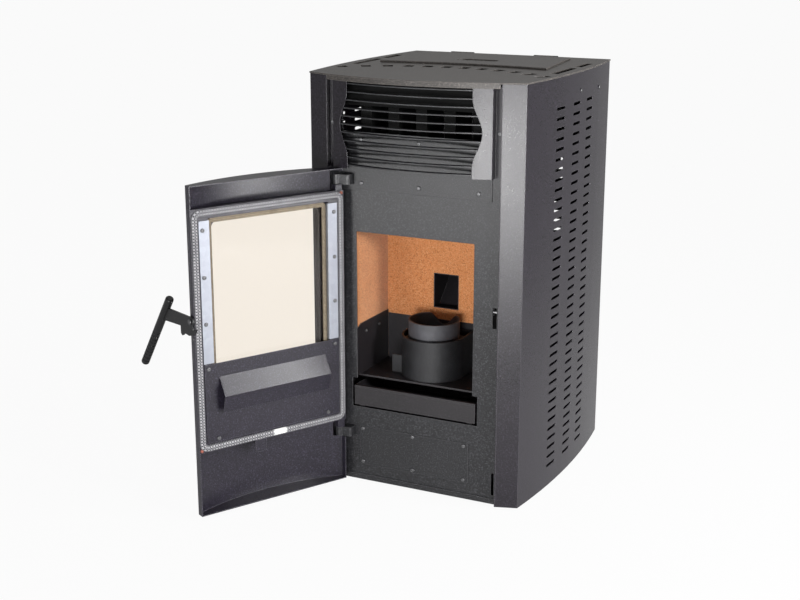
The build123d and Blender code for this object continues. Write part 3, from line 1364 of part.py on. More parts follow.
def auger_tube():
    """Inclined tube with an inlet under the throat and an outlet over the chute."""
    tube = auger_rod(AUGER_TUBE_R, -24, AUGER_LENGTH)
    tube = tube - auger_rod(AUGER_TUBE_R - AUGER_TUBE_WALL, -20, AUGER_LENGTH - 4)
    yt = FRONT + THROAT_AT
    inlet = block(-THROAT_HALF + 4, THROAT_HALF - 4, yt - THROAT_HALF + 2, yt + THROAT_HALF - 2,
                  auger_point(0)[1] + 47, Z0 + THROAT_TOP)
    y_out = auger_point(AUGER_LENGTH - 34)[0]
    z_out = auger_point(AUGER_LENGTH - 34)[1]
    outlet = block(-20, 20, y_out - 18, y_out + 18, z_out - 60, z_out)
    tube = tube - inlet - outlet
    tube = tube - auger_rod(AUGER_SHAFT_R + RUN, -30, 0)
    return tube - auger_rod(AUGER_SHAFT_R + RUN, AUGER_LENGTH - 10, AUGER_LENGTH + 5)


def auger_screw():
    """Shaft with a helical flight."""
    turns = AUGER_TURNS
    length = turns * AUGER_PITCH
    shaft = Cylinder(AUGER_SHAFT_R, AUGER_LENGTH + 16 + 34, align=(Align.CENTER, Align.CENTER, Align.MIN))
    shaft = Pos(0, 0, -34) * shaft
    helix = Helix(AUGER_PITCH, length, AUGER_SHAFT_R)
    start = helix @ 0
    profile = Plane(origin=start, x_dir=(1, 0, 0), z_dir=helix % 0)
    width = AUGER_R - AUGER_SHAFT_R + 1.5
    section = profile * Pos(width / 2 - 1.5, 0) * Rectangle(width, AUGER_FLIGHT_T)
    flight = sweep(section, path=helix, binormal=Edge.make_line((0, 0, 0), (0, 0, length)))
    screw = shaft + flight
    y, z = auger_point(0)
    return Pos(0, y, z) * Rot(90 - AUGER_TILT, 0, 0) * screw


def auger_gearmotor():
    """Gearbox and motor at the foot of the auger, bolted to the tube's end."""
    s1 = -24
    box = auger_rod(MOTOR_R, s1 - GEARBOX_L, s1) - auger_rod(AUGER_SHAFT_R + RUN, s1 - 16, s1 + 1)
    motor = auger_rod(MOTOR_R - 5, s1 - GEARBOX_L - MOTOR_L, s1 - GEARBOX_L)
    y, z = auger_point(s1 - GEARBOX_L / 2)
    ear = Pos(0, y, z) * Rot(90 - AUGER_TILT, 0, 0) * Box(2 * MOTOR_R + 16, 26, 8)
    ear = ear - auger_rod(MOTOR_R - 2, s1 - GEARBOX_L, s1)
    return box + motor + ear


def feed_chute():
    """Sloping square duct from the auger's outlet to the hole in the fire chamber's back."""
    y_wall = STEEL_BACK + WALL
    z_low = Z0 + CHUTE_LOW
    z_top = Z0 + CHUTE_TOP
    y_out, z_out = auger_point(AUGER_LENGTH - 34)
    y_a = y_out - 20
    y_b = y_out + 20
    z_up = z_out - 6
    t = CHUTE_WALL
    z_b = z_low + (y_b - y_wall) * 0.9
    outer = [(y_wall, z_low - t), (y_b, z_b), (y_b, z_up), (y_a, z_up), (y_a, z_top + 4), (y_wall, z_top + t)]
    inner = [(y_wall - 1, z_low), (y_wall, z_low), (y_b - t, z_b + t), (y_b - t, z_up + 1), (y_a + t, z_up + 1),
             (y_a + t, z_top + 4 - t), (y_wall, z_top), (y_wall - 1, z_top)]
    half = CHUTE_HALF
    solid = Pos(-half - t, 0, 0) * extrude(Plane.YZ * make_face(Polyline(outer, close=True)), 2 * (half + t))
    hollow = Pos(-half, 0, 0) * extrude(Plane.YZ * make_face(Polyline(inner, close=True)), 2 * half)
    liner = chute_sleeve(t, LINING_BACK, y_wall) - chute_sleeve(0, LINING_BACK - 1, y_wall + 1)
    duct = solid - hollow + liner
    return duct - auger_rod(AUGER_TUBE_R + 0.1, -60, AUGER_LENGTH + 60)


# ---------------------------------------------------------------- air and smoke
def exhaust_fan_housing():
    """Round volute with an inlet toward the duct and an outlet to the rear."""
    y = FAN_Y
    z = Z0 + FAN_UP
    x0 = FAN_X - VOLUTE_W / 2
    x1 = FAN_X + VOLUTE_W / 2
    w = VOLUTE_WALL
    case = rod_x(y, z, VOLUTE_R, x0, x1)
    outlet_r = FLUE_R - FLUE_WALL - FIT
    case = case + rod_y(FAN_X, FLUE_Z, outlet_r, y, BACK_FACE + FLANGE_T)
    case = case - rod_x(y, z, VOLUTE_R - w, x0 + w, x1 - w)
    case = case - rod_y(FAN_X, FLUE_Z, outlet_r - w, y, BACK_FACE + FLANGE_T + 1)
    case = case - rod_x(y, z, DUCT_W / 2 - 2 * TUBE_WALL, x1 - 5, x1 + 5)
    foot = block(FAN_X - 20, FAN_X + 20, y - 15, y + 15, Z0 + SHEET, z - VOLUTE_R + 2)
    case = case + foot
    return case - rod_x(y, z, FAN_SHAFT_R + RUN, x0 - 1, x0 + w + 1)


def flue_spigot():
    """Smoke outlet: a flanged collar on the rear panel, over the end of the fan's outlet."""
    y1 = BACK_FACE + FLANGE_T + FLUE_OUT
    spigot = rod_y(FAN_X, FLUE_Z, FLUE_R, BACK_FACE, y1)
    spigot = spigot + rod_y(FAN_X, FLUE_Z, FLUE_R + FLANGE_W, BACK_FACE, BACK_FACE + FLANGE_T)
    return spigot - rod_y(FAN_X, FLUE_Z, FLUE_R - FLUE_WALL, BACK_FACE - 1, y1 + 1)


def exhaust_impeller():
    y = FAN_Y
    z = Z0 + FAN_UP
    x1 = FAN_X + IMPELLER_W / 2
    x0 = FAN_X - IMPELLER_W / 2
    disc = rod_x(y, z, IMPELLER_R, x0, x0 + 2)
    hub = rod_x(y, z, 10, x0, x1)
    shaft = rod_x(y, z, FAN_SHAFT_R, FAN_X - VOLUTE_W / 2 - 14, x0 + 1)
    wheel = disc + hub + shaft
    for i in range(BLADES):
        blade = block(x0 + 1, x1, y - 1, y + 1, z + 9, z + IMPELLER_R)
        wheel = wheel + blade.rotate(Axis((0, y, z), (1, 0, 0)), 360 / BLADES * i)
    return wheel


def exhaust_fan_motor():
    y = FAN_Y
    z = Z0 + FAN_UP
    x1 = FAN_X - VOLUTE_W / 2
    motor = rod_x(y, z, SMOKE_MOTOR_R, x1 - SMOKE_MOTOR_L, x1)
    return motor - rod_x(y, z, FAN_SHAFT_R + RUN, x1 - 16, x1 + 1)


def air_intake_pipe():
    """Combustion air pipe from the rear panel to the back of the pot holder."""
    y0 = POT_BACK_Y
    y1 = BACK_FACE + INTAKE_OUT
    pipe = rod_y(0, INTAKE_Z, INTAKE_R - INTAKE_STEP, y0, y1) + rod_y(0, INTAKE_Z, INTAKE_R, BACK_FACE, y1)
    return pipe - rod_y(0, INTAKE_Z, INTAKE_R - INTAKE_WALL, y0 - 1, y1 + 1)


def blower_place():
    return FRONT + BLOWER_AT, Z0 + BLOWER_UP


def room_fan_housing():
    """Scroll case of the room air blower, with inlet grilles and an upward outlet."""
    y, z = blower_place()
    half = BLOWER_L / 2
    h = BLOWER_CASE / 2
    w = VOLUTE_WALL
    case = block(-half, half, y - h + 6, y + h, z - h, z + h)
    case = case - block(-half + w, half - w, y - h + 6 + w, y + h - w, z - h + w, z + h - w)
    case = case - block(-half + 10, half - 10, y - h + 12, y - 4, z + h - 5, z + h + 5)
    for i in range(8):
        x = -half + 24 + i * (BLOWER_L - 48) / 7
        case = case - block(x - 8, x + 8, y + h - 5, y + h + 5, z - h + 14, z + h - 14)
    case = case - rod_x(y, z, FAN_SHAFT_R + RUN, -half - 1, half + 1)
    legs = block(-half, half, y - 8, y + 8, Z0 + SHEET, z - h)
    return case + legs


def room_fan_rotor():
    """Long bladed drum of the room air blower."""
    y, z = blower_place()
    half = BLOWER_L / 2 - VOLUTE_WALL - 4
    ends = rod_x(y, z, BLOWER_R, -half, -half + 2) + rod_x(y, z, BLOWER_R, half - 2, half)
    shaft = rod_x(y, z, FAN_SHAFT_R, -BLOWER_L / 2 - 1, BLOWER_L / 2 + 16)
    drum = ends + shaft
    for i in range(BLOWER_FINS):
        fin = block(-half + 1, half - 1, y - 0.8, y + 0.8, z + BLOWER_R - 8, z + BLOWER_R - 0.5)
        drum = drum + fin.rotate(Axis((0, y, z), (1, 0, 0)), 360 / BLOWER_FINS * i)
    return drum


def room_fan_motor():
    y, z = blower_place()
    x0 = BLOWER_L / 2
    motor = rod_x(y, z, BLOWER_MOTOR_R, x0, x0 + BLOWER_MOTOR_L)
    return motor - rod_x(y, z, FAN_SHAFT_R + RUN, x0 - 1, x0 + 18)


def control_board():
    """Circuit board on its carrier, behind the left side panel."""
    x0 = -PANEL_HALF + 26
    y0 = REAR - 60 - BOARD_W
    z0 = Z0 + BOARD_UP
    carrier = block(x0 - 4, x0, y0, y0 + BOARD_W, z0 - 20, z0 + BOARD_H)
    foot = block(x0 - 4, x0 + 14, y0, y0 + BOARD_W, Z0 + SHEET, Z0 + SHEET + 2)
    post = block(x0 - 4, x0, y0, y0 + BOARD_W, Z0 + SHEET, z0 - 19)
    board = block(x0, x0 + 6, y0 + 8, y0 + BOARD_W - 8, z0, z0 + BOARD_H - 8)
    relays = block(x0 + 5, x0 + 22, y0 + 20, y0 + 60, z0 + 20, z0 + 50)
    relays = relays + block(x0 + 5, x0 + 18, y0 + 70, y0 + 110, z0 + 80, z0 + 130)
    return carrier + foot + post + board + relays


def mains_inlet():
    """Three-pin appliance inlet in the rear panel."""
    y1 = BACK_FACE
    z = Z0 + INLET_UP
    w = INLET_W / 2
    h = INLET_H / 2
    body = block(INLET_X - w, INLET_X + w, y1 - INLET_D, y1, z - h, z + h)
    flange = block(INLET_X - w - 6, INLET_X + w + 6, y1, y1 + 2.5, z - h - 3, z + h + 3)
    inlet = body + flange - block(INLET_X - w + 3, INLET_X + w - 3, y1 - 16, y1 + 4, z - h + 3, z + h - 3)
    for dx, dz in ((-7, -2), (0, 3), (7, -2)):
        inlet = inlet + block(INLET_X + dx - 1, INLET_X + dx + 1, y1 - 17, y1 - 2, z + dz - 2, z + dz + 2)
    return inlet


def switch_axis():
    return BACK_FACE - 3.0, Z0 + SWITCH_UP


def switch_housing():
    """Frame of the mains switch, open in the middle, with the rocker's pin."""
    y1 = BACK_FACE
    y, z = switch_axis()
    w = SWITCH_W / 2
    h = SWITCH_H / 2
    frame = block(INLET_X - w - 1, INLET_X + w + 1, y1 - 16, y1, z - h - 1, z + h + 1)
    frame = frame + block(INLET_X - w - 4, INLET_X + w + 4, y1, y1 + 1.5, z - h - 4, z + h + 4)
    frame = frame - block(INLET_X - w + 1.5, INLET_X + w - 1.5, y1 - 14, y1 + 3, z - h + 0.8, z + h - 0.8)
    return frame + rod_x(y, z, 1.2, INLET_X - w, INLET_X + w)


def power_switch():
    """Rocker of the mains switch, tilted to its off side."""
    y, z = switch_axis()
    w = SWITCH_W / 2 - 2.2
    h = SWITCH_H / 2 - 2.0
    rocker = block(INLET_X - w, INLET_X + w, y - 2.5, y + 5.5, z - h, z + h)
    rocker = fillet(rocker.edges().filter_by(Axis.X).group_by(Axis.Y)[-1], 1.2)
    rocker = rocker - rod_x(y, z, 1.2 + RUN, INLET_X - SWITCH_W, INLET_X + SWITCH_W)
    return rocker.rotate(Axis((0, y, z), (1, 0, 0)), SWITCH_TILT)


# ---------------------------------------------------------------- build and write
def build_parts():
    parts = {}
    parts["base_pan"] = base_pan()
    parts["base_rail"] = base_rail()
    parts["levelling_feet"] = levelling_feet()
    parts["left_side_panel"] = left_side_panel()
    parts["right_side_panel"] = right_side_panel()
    parts["casing_screws"] = casing_screws()
    parts["rear_panel"] = rear_panel()
    parts["top_plate"] = top_plate()
    parts["hopper_lid"] = hopper_lid()
    parts["lid_hinge_pins"] = lid_hinge_pins()
    parts["front_plate"] = front_plate()
    parts["front_screws"] = front_screws()
    parts["louvre_plate"] = louvre_plate()
    parts["access_cover"] = access_cover()
    parts["louvre_blades"] = louvre_blades()
    parts["left_cheek"] = left_cheek()
    parts["right_cheek"] = right_cheek()
    parts["hinge_brackets"] = hinge_brackets()
    parts["latch_keeper"] = latch_keeper()
    parts["firebox_body"] = firebox_body()
    parts["firebox_floor"] = firebox_floor()
    parts["lining_back"] = lining_back()
    parts["lining_left"] = side_lining(-1) - skirt_screw_holes()
    parts["lining_right"] = side_lining(1) - skirt_screw_holes()
    parts["skirt_plates"] = skirt_plates()
    parts["burn_pot_holder"] = burn_pot_holder()
    parts["burn_pot_cup"] = burn_pot_cup()
    parts["igniter"] = igniter()
    parts["ash_pan"] = ash_pan()
    parts["exchanger_tubes"] = exchanger_tubes()
    parts["exchanger_header"] = exchanger_header()
    parts["flue_duct"] = flue_duct()
    parts["hopper"] = hopper()
    parts["auger_tube"] = auger_tube()
    parts["auger_screw"] = auger_screw()
    parts["auger_gearmotor"] = auger_gearmotor()
    parts["feed_chute"] = feed_chute()
    parts["exhaust_fan_housing"] = exhaust_fan_housing()
    parts["exhaust_impeller"] = exhaust_impeller()
    parts["exhaust_fan_motor"] = exhaust_fan_motor()
    parts["flue_spigot"] = flue_spigot()
    parts["air_intake_pipe"] = air_intake_pipe()
    parts["room_fan_housing"] = room_fan_housing()
    parts["room_fan_rotor"] = room_fan_rotor()
    parts["room_fan_motor"] = room_fan_motor()
    parts["control_board"] = control_board()
    parts["mains_inlet"] = mains_inlet()
    parts["switch_housing"] = switch_housing()
    parts["power_switch"] = power_switch()
    parts["door_skin"] = door_turn(door_skin())
    parts["door_frame"] = door_turn(door_frame())
    parts["door_rope_gasket"] = door_turn(door_rope_gasket())
    parts["door_glass"] = door_turn(door_glass())
    parts["glass_rope"] = door_turn(glass_rope())
    parts["glass_retainers"] = door_turn(glass_retainers())
    parts["deflector_plate"] = door_turn(deflector_plate())
    parts["door_screws"] = door_turn(group(list(door_screws().solids()) + latch_side_screws()))
    parts["handle_pivot_bolt"] = door_turn(handle_pivot_bolt())
    parts["handle_lever"] = handle_turn(handle_lever())
    parts["handle_grip"] = handle_turn(handle_grip())
    return parts


os.makedirs("parts", exist_ok=True)
for node, shape in build_parts().items():
    save(shape, node)
print("hinge axis at x", round(HINGE_X, 2), "y", round(HINGE_Y, 2))
print("handle pivot when shut at y", round(PIVOT_Y, 2), "z", round(PIVOT_Z, 2))
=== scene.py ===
# %% [markdown]
# # A pellet stove with its fire door open
# This lesson dresses a stove that was drawn in CAD. The real one is folded sheet steel under a gritty powder
# coat, with a cast burn pot, orange fire boards, a ceramic window and a braided rope round the door. The CAD
# gives every sheet its true shape, so the script leaves those alone, gives them their finishes, and builds
# only what a CAD solid can't be: the two woven ropes, and the dabs of sealant on one of them.

# %% Load the stove from CAD
import json
import math
import bpy
import numpy as np
from mathutils import Matrix, Vector, noise


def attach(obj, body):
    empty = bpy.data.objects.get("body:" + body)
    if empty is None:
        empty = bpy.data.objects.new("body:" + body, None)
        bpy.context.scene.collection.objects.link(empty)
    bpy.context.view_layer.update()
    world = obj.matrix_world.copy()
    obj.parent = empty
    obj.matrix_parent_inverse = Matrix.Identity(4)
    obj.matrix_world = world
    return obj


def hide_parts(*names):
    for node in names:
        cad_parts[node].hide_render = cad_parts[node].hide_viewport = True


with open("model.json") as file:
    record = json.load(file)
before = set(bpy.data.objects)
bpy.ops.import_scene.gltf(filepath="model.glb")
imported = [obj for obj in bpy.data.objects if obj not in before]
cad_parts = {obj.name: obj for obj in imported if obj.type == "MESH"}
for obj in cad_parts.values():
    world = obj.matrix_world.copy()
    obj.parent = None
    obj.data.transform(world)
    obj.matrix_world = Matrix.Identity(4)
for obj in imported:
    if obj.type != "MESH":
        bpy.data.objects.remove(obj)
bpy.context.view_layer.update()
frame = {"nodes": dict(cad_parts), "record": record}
parts = frame["nodes"]
slot_of = {row["node"]: row["material_slot"] for row in frame["record"]["subparts"]}

# %% [markdown]
# ## The camera
# The photograph was taken from the stove's front right, a little above its top. Its place and lens were
# worked out from the stove's corners, so that a point of the CAD falls on the same pixel as in the photograph.
# Placing a camera by two angles and a point keeps it level, as a tripod does.

# %% Camera
CAMERA_PLACE = (1.27024, -2.93964, 1.28527)
LENS = 61.62          # millimetres
SENSOR = 36.0         # millimetres wide
LOOKS_DOWN = 15.58    # degrees below level
LOOKS_LEFT = 26.11    # degrees to the left of straight back
camera_data = bpy.data.cameras.new("studio_camera")
camera_data.lens = LENS
camera_data.sensor_width = SENSOR
camera = bpy.data.objects.new("studio_camera", camera_data)
bpy.context.scene.collection.objects.link(camera)
camera.location = CAMERA_PLACE
camera.rotation_euler = (math.radians(90 - LOOKS_DOWN), 0, math.radians(LOOKS_LEFT))
bpy.context.scene.camera = camera
bpy.context.scene.view_settings.view_transform = "Standard"
print("camera", round(camera.location.length, 2), "m from the stove's foot")

# %% [markdown]
# ## Shader maths as plain sums
# A finish is a net of small nodes, and a sum of three values would take three of them. Wrapping a socket in
# a class lets Python write the sum instead: each operator adds one Math node. The reflected forms matter,
# because 1 - mask starts with a plain number. Only the operators that the finishes use are here. Colours are
# mixed with Mix nodes, never with these operators.

# %% A wire that can be added and multiplied
class Wire:
    """An output socket of a finish. Operators on it add Math nodes."""

    def __init__(self, finish, socket):
        self.finish = finish
        self.socket = socket

    def maths(self, operation, *values):
        return self.finish.node("Math", {"operation": operation}, values)

    def __add__(self, other):
        return self.maths("ADD", self, other)

    def __radd__(self, other):
        return self.maths("ADD", other, self)

    def __rsub__(self, other):
        return self.maths("SUBTRACT", other, self)

    def __mul__(self, other):
        return self.maths("MULTIPLY", self, other)

    def __rmul__(self, other):
        return self.maths("MULTIPLY", other, self)

    def between(self, low, high):
        """0 at low, 1 at high, smooth in between. Low may be above high."""
        return self.finish.node("MapRange", {"interpolation_type": "SMOOTHSTEP"}, {0: self, 1: low, 2: high})


print("wires add and multiply, and can be taken from a number")

# %% [markdown]
# ## One method for every node
# Any node is a type, a few settings and some sockets. Settings come first, because a setting such as the
# kind of Mix decides which sockets the node has.

# %% A finish under construction
class Finish:
    """A material whose nodes are added one by one."""

    def __init__(self, name):
        self.material = bpy.data.materials.new(name)
        self.material.use_nodes = True
        self.tree = self.material.node_tree
        self.tree.nodes.clear()

    def node(self, kind, settings=None, sockets=(), output=0):
        made = self.tree.nodes.new("ShaderNode" + kind)
        for key, value in (settings or {}).items():
            setattr(made, key, value)
        for key, value in sockets.items() if isinstance(sockets, dict) else enumerate(sockets):
            if isinstance(value, Wire):
                self.tree.links.new(value.socket, made.inputs[key])
            elif isinstance(value, tuple) and made.inputs[key].type == "RGBA":
                made.inputs[key].default_value = (*value, 1)
            else:
                made.inputs[key].default_value = value
        return Wire(self, made.outputs[output]) if len(made.outputs) else made

    def place(self, stretch=(1, 1, 1)):
        """Position on the stove in metres, stretched along the axes if asked."""
        at = self.node("TexCoord", output="Object")
        if stretch == (1, 1, 1):
            return at
        return self.node("VectorMath", {"operation": "MULTIPLY"}, (at, stretch))

    def noise(self, at, scale, detail, roughness=0.5):
        """Soft noise from 0 to 1. Scale is its coarsest waves per metre, detail how many finer ones it gets."""
        sockets = {"Vector": at, "Scale": scale, "Detail": detail, "Roughness": roughness}
        return self.node("TexNoise", {}, sockets)

    def cells(self, at, scale, output="Distance"):
        """Random cells, scale of them per metre."""
        return self.node("TexVoronoi", {}, {"Vector": at, "Scale": scale}, output)

    def mix(self, amount, a, b):
        """Colour a where amount is 0, colour b where it is 1."""
        return self.node("Mix", {"data_type": "RGBA"}, {0: amount, 6: a, 7: b}, 2)

    def bump(self, height, distance, normal=None):
        """Normals of a skin that rises by distance, in metres, where height goes from 0 to 1."""
        sockets = {"Height": height, "Distance": distance, "Strength": 1.0}
        if normal is not None:
            sockets["Normal"] = normal
        return self.node("Bump", {}, sockets)

    def soft_edge(self, radius):
        """Normals as if the sharp CAD edges were rounded, and a mask that is 1 on those edges."""
        rounded = self.node("Bevel", {"samples": 4}, {"Radius": radius})
        flat = self.node("NewGeometry", output="Normal")
        same = self.node("VectorMath", {"operation": "DOT_PRODUCT"}, (rounded, flat), "Value")
        return rounded, (1 - same).between(0.01, 0.25)

    def surface(self, sockets):
        shader = self.node("BsdfPrincipled", {}, sockets)
        self.node("OutputMaterial", {}, {"Surface": shader})
        return self.material


print("a finish takes nodes, noises, mixes and bumps")

# %% [markdown]
# ## Floor and background
# The photograph stands on plain white. A real studio gets that from a bright sweep of paper, but bright
# paper would also flood the stove with light. So the floor is pale grey paint, and only the camera, glass and,
# in part, mirrors see it white. A twentieth of its look is still real light, which keeps the stove's soft
# shadow. Mirrors see it at part strength, because full white would turn each dark sheet grey.

# %% Floor
FLOOR_WHITE = 0.95       # share of white in what the camera sees
FLOOR_MIRRORED = 0.35    # part of that which mirrors see
FLOOR_REACH = 40         # metres from the middle to each edge


def seen_white(net, mirrored):
    """1 for rays from the camera or through glass, less for rays from a mirror."""
    straight = net.node("LightPath", output="Is Camera Ray")
    through = net.node("LightPath", output="Is Transmission Ray")
    return straight + through + mirrored * net.node("LightPath", output="Is Glossy Ray")


def paper_floor():
    paper = Finish("pale_paper")
    seen = seen_white(paper, FLOOR_MIRRORED)
    fibre = paper.noise(paper.place(), 30, 3)
    tone = paper.mix(fibre, (0.54, 0.54, 0.54), (0.58, 0.58, 0.58))
    matt = paper.node("BsdfPrincipled", {}, {"Base Color": tone, "Roughness": 0.9, "Specular IOR Level": 0.1})
    white = paper.node("Emission", {}, {"Color": (1.0, 1.0, 1.0), "Strength": 1.0})
    both = paper.node("MixShader", {}, (seen * FLOOR_WHITE, matt, white))
    paper.node("OutputMaterial", {}, {"Surface": both})
    mesh = bpy.data.meshes.new("floor")
    far = FLOOR_REACH
    mesh.from_pydata([(-far, -far, 0), (far, -far, 0), (far, far, 0), (-far, far, 0)], [], [(0, 1, 2, 3)])
    floor = bpy.data.objects.new("floor", mesh)
    bpy.context.scene.collection.objects.link(floor)
    mesh.materials.append(paper.material)
    return floor


print("floor", paper_floor().dimensions[0], "m wide")

# %% World
WORLD_LEVEL = 0.20       # light that it gives to the stove
WORLD_MIRRORED = 0.25    # part of the white that mirrors see


def white_world(level):
    world = bpy.data.worlds.new("studio")
    bpy.context.scene.world = world
    world.use_nodes = True
    room = Finish.__new__(Finish)    # the world has a node net of its own, so no material is made
    room.tree = world.node_tree
    room.tree.nodes.clear()
    strength = level + (1 - level) * seen_white(room, WORLD_MIRRORED)
    sky = room.node("Background", {}, {"Color": (1.0, 1.0, 1.0), "Strength": strength})
    room.node("OutputWorld", {}, {"Surface": sky})
    return world


white_world(WORLD_LEVEL)
print("world lights the stove at", WORLD_LEVEL, "and looks white")

# %% [markdown]
# ## Studio lights
# A dark satin sheet shows little colour of its own. What the camera sees is mostly the mirror image of what
# stands opposite: the ground in front for the trims, the right for the inside of the door, the back right for
# the long side. So each group of faces has a soft box of its own on that side. In the photograph the right trim
# and the fire board are brightest, the left trim is nearly black, and each front sheet fades towards its foot,
# which is why the two front boxes stand low.

# %% Soft boxes
SOFT_BOXES = {    # place, aim, width and height in metres, and watts
    "front_box": ((0.75, -3.10, 0.32), (0.20, -0.28, 0.80), (0.9, 0.45), 54),
    "left_box": ((-1.05, -3.00, 0.24), (0.0, -0.28, 0.75), (0.8, 0.35), 16),
    "right_box": ((2.4, -0.30, 0.50), (-0.35, -0.50, 0.60), (0.9, 0.35), 30),
    "high_box": ((1.8, 0.0, 1.7), (-0.35, -0.50, 0.35), (0.5, 0.5), 22),
    "lining_box": ((2.35, -1.2, 1.08), (-0.15, -0.2, 0.45), (0.3, 0.3), 40),
    "top_box": ((-0.3, 0.7, 2.8), (0.0, 0.0, 0.9), (1.6, 1.6), 10),
}


def soft_box(name, place, aim, size, watts):
    data = bpy.data.lights.new(name, "AREA")
    data.shape = "RECTANGLE"
    data.size, data.size_y = size
    data.energy = watts
    box = bpy.data.objects.new(name, data)
    bpy.context.scene.collection.objects.link(box)
    box.location = place
    box.rotation_euler = (Vector(aim) - Vector(place)).to_track_quat("-Z", "Y").to_euler()
    box.visible_camera = False


for name, values in SOFT_BOXES.items():
    soft_box(name, *values)
print(len(SOFT_BOXES), "soft boxes")

# %% [markdown]
# ## Powder coat
# Powder coat is baked plastic dust: satin, with a fine grit that scatters small glints. The grit is a few
# millimetres from grain to grain and a fraction of one high, so it goes into the bump, the colour and a little
# into the roughness. Folded edges take the light, which a Bevel node gives without touching the CAD mesh;
# they also get a painted highlight, a lighter colour along each edge.

# %% Powder coat
def shade(colour, factor, lift=0.0):
    """A colour made darker or lighter, with a little grey added if asked."""
    return tuple(min(1, c * factor + lift) for c in colour)


def powder_coat(name, colour, roughness, grit=0.0002, speck=0.9, edge=0.9, shine=0.45):
    """Grit is its height in metres; speck is how much of the grain shows, and edge how strong the painted
    highlight on the edges is.
    """
    coat = Finish(name)
    at = coat.place()
    cloud = coat.noise(at, 5, 3)
    grain = coat.noise(at, 330, 2, 0.7)
    fine = coat.noise(at, 900, 1)
    rounded, rim = coat.soft_edge(0.0018)
    tone = coat.mix(cloud.between(0.3, 0.7), shade(colour, 0.9), shade(colour, 1.1))
    tone = coat.mix((1 - grain.between(0.35, 0.48)) * speck, tone, shade(colour, 0.5))
    tone = coat.mix(grain.between(0.54, 0.66) * speck, tone, shade(colour, 3.2))
    # Painted highlight: a lighter colour along the folded edges, as if they caught the light.
    tone = coat.mix(rim * edge, tone, shade(colour, 3.0, 0.08))
    height = grain * 0.7 + fine * 0.3
    return coat.surface({
        "Base Color": tone,
        "Roughness": roughness - 0.11 + 0.08 * cloud + 0.14 * grain,
        "Normal": coat.bump(height, grit, rounded),
        "Specular IOR Level": shine,
    })


casing_coat = powder_coat("casing_coat", (0.010, 0.008, 0.012), 0.30)
top_coat = powder_coat("top_coat", (0.050, 0.044, 0.040), 0.44, shine=0.5)
front_coat = powder_coat("front_coat", (0.018, 0.018, 0.020), 0.33, grit=0.0003)
door_coat = powder_coat("door_coat", (0.014, 0.012, 0.019), 0.31, shine=0.5)
fire_black = powder_coat("fire_black", (0.016, 0.014, 0.016), 0.42, speck=0.3)
# Dark paint made darker still as painted shade: the exchanger and flue inside the stove get a near black, matt
# coat.
dark_coat_and_shade = powder_coat("dark_coat_and_shade", (0.005, 0.005, 0.005), 0.6, speck=0.3, edge=0.1, shine=0.1)
print("six powder coats")

# %% [markdown]
# ## Fire board
# The lining is pressed flakes of expanded mica: orange, speckled light and dark, and slightly rough. Noise
# alone looks like mist, so the flakes come from small cells, each with its own tone. Sheen makes the board a
# little paler where it is seen at a flat angle, as its loose fibres do.

# %% Fire board
BOARD_ORANGE = (0.56, 0.215, 0.074), (0.63, 0.25, 0.094)
PALE_FLAKE = (0.74, 0.42, 0.21)
DARK_FLAKE = (0.24, 0.08, 0.025)


def pressed_board(name):
    board = Finish(name)
    at = board.place()
    flake = board.cells(at, 560, "Color")
    tone = board.node("SeparateColor", {}, (flake,))
    fine = board.noise(at, 900, 2)
    cloud = board.noise(at, 9, 3)
    base = board.mix(cloud.between(0.25, 0.75), *BOARD_ORANGE)
    base = board.mix(tone.between(0.55, 1.0) * 0.55, base, PALE_FLAKE)
    base = board.mix((1 - tone.between(0.0, 0.28)) * 0.6, base, DARK_FLAKE)
    height = board.cells(at, 560) * 0.5 + fine * 0.5
    return board.surface({
        "Base Color": base,
        "Roughness": 0.8 + 0.15 * fine,
        "Normal": board.bump(height, 0.0006),
        "Specular IOR Level": 0.2,
        "Sheen Weight": 0.6,
        "Sheen Roughness": 0.5,
        "Sheen Tint": (1.0, 0.86, 0.70),
    })


board_finish = pressed_board("pressed_board")
print("fire board", board_finish.name)

# %% [markdown]
# ## Cast iron
# The burn pot is sand cast: a coarse skin, greyer than the paint, whose high spots get a painted highlight,
# a lighter colour for their soft shine, and a breath of rust on its rims.

# %% Cast iron
RUST = (0.12, 0.075, 0.05)


def cast_skin(name, colour):
    iron = Finish(name)
    at = iron.place()
    coarse = iron.noise(at, 210, 3, 0.6)
    fine = iron.noise(at, 800, 2)
    cloud = iron.noise(at, 26, 3)
    rounded, rim = iron.soft_edge(0.0016)
    base = iron.mix(cloud.between(0.3, 0.7), shade(colour, 0.8), shade(colour, 1.2))
    # Painted highlight: the high spots of the coarse skin get a lighter colour.
    base = iron.mix(coarse.between(0.55, 0.8) * 0.4, base, shade(colour, 1.8))
    base = iron.mix(rim * cloud.between(0.4, 0.65) * 0.3, base, RUST)
    return iron.surface({
        "Base Color": base,
        "Metallic": 0.25,
        "Roughness": 0.42 + 0.2 * coarse,
        "Normal": iron.bump(coarse * 0.7 + fine * 0.3, 0.0007, rounded),
    })


cup_iron = cast_skin("cup_iron", (0.070, 0.070, 0.078))
holder_iron = cast_skin("holder_iron", (0.018, 0.018, 0.020))
print("cast iron in two tones")

# %% [markdown]
# ## Zinc, bare steel and screws
# Bright zinc shows faint crystals and rolling lines. Bare steel is duller. Both are real metals, so their
# colour is in the mirror image, and Metallic is close to 1. Rolling lines are noise squeezed along one axis.

# %% Sheet metals
ROLLING = (1, 1, 40)


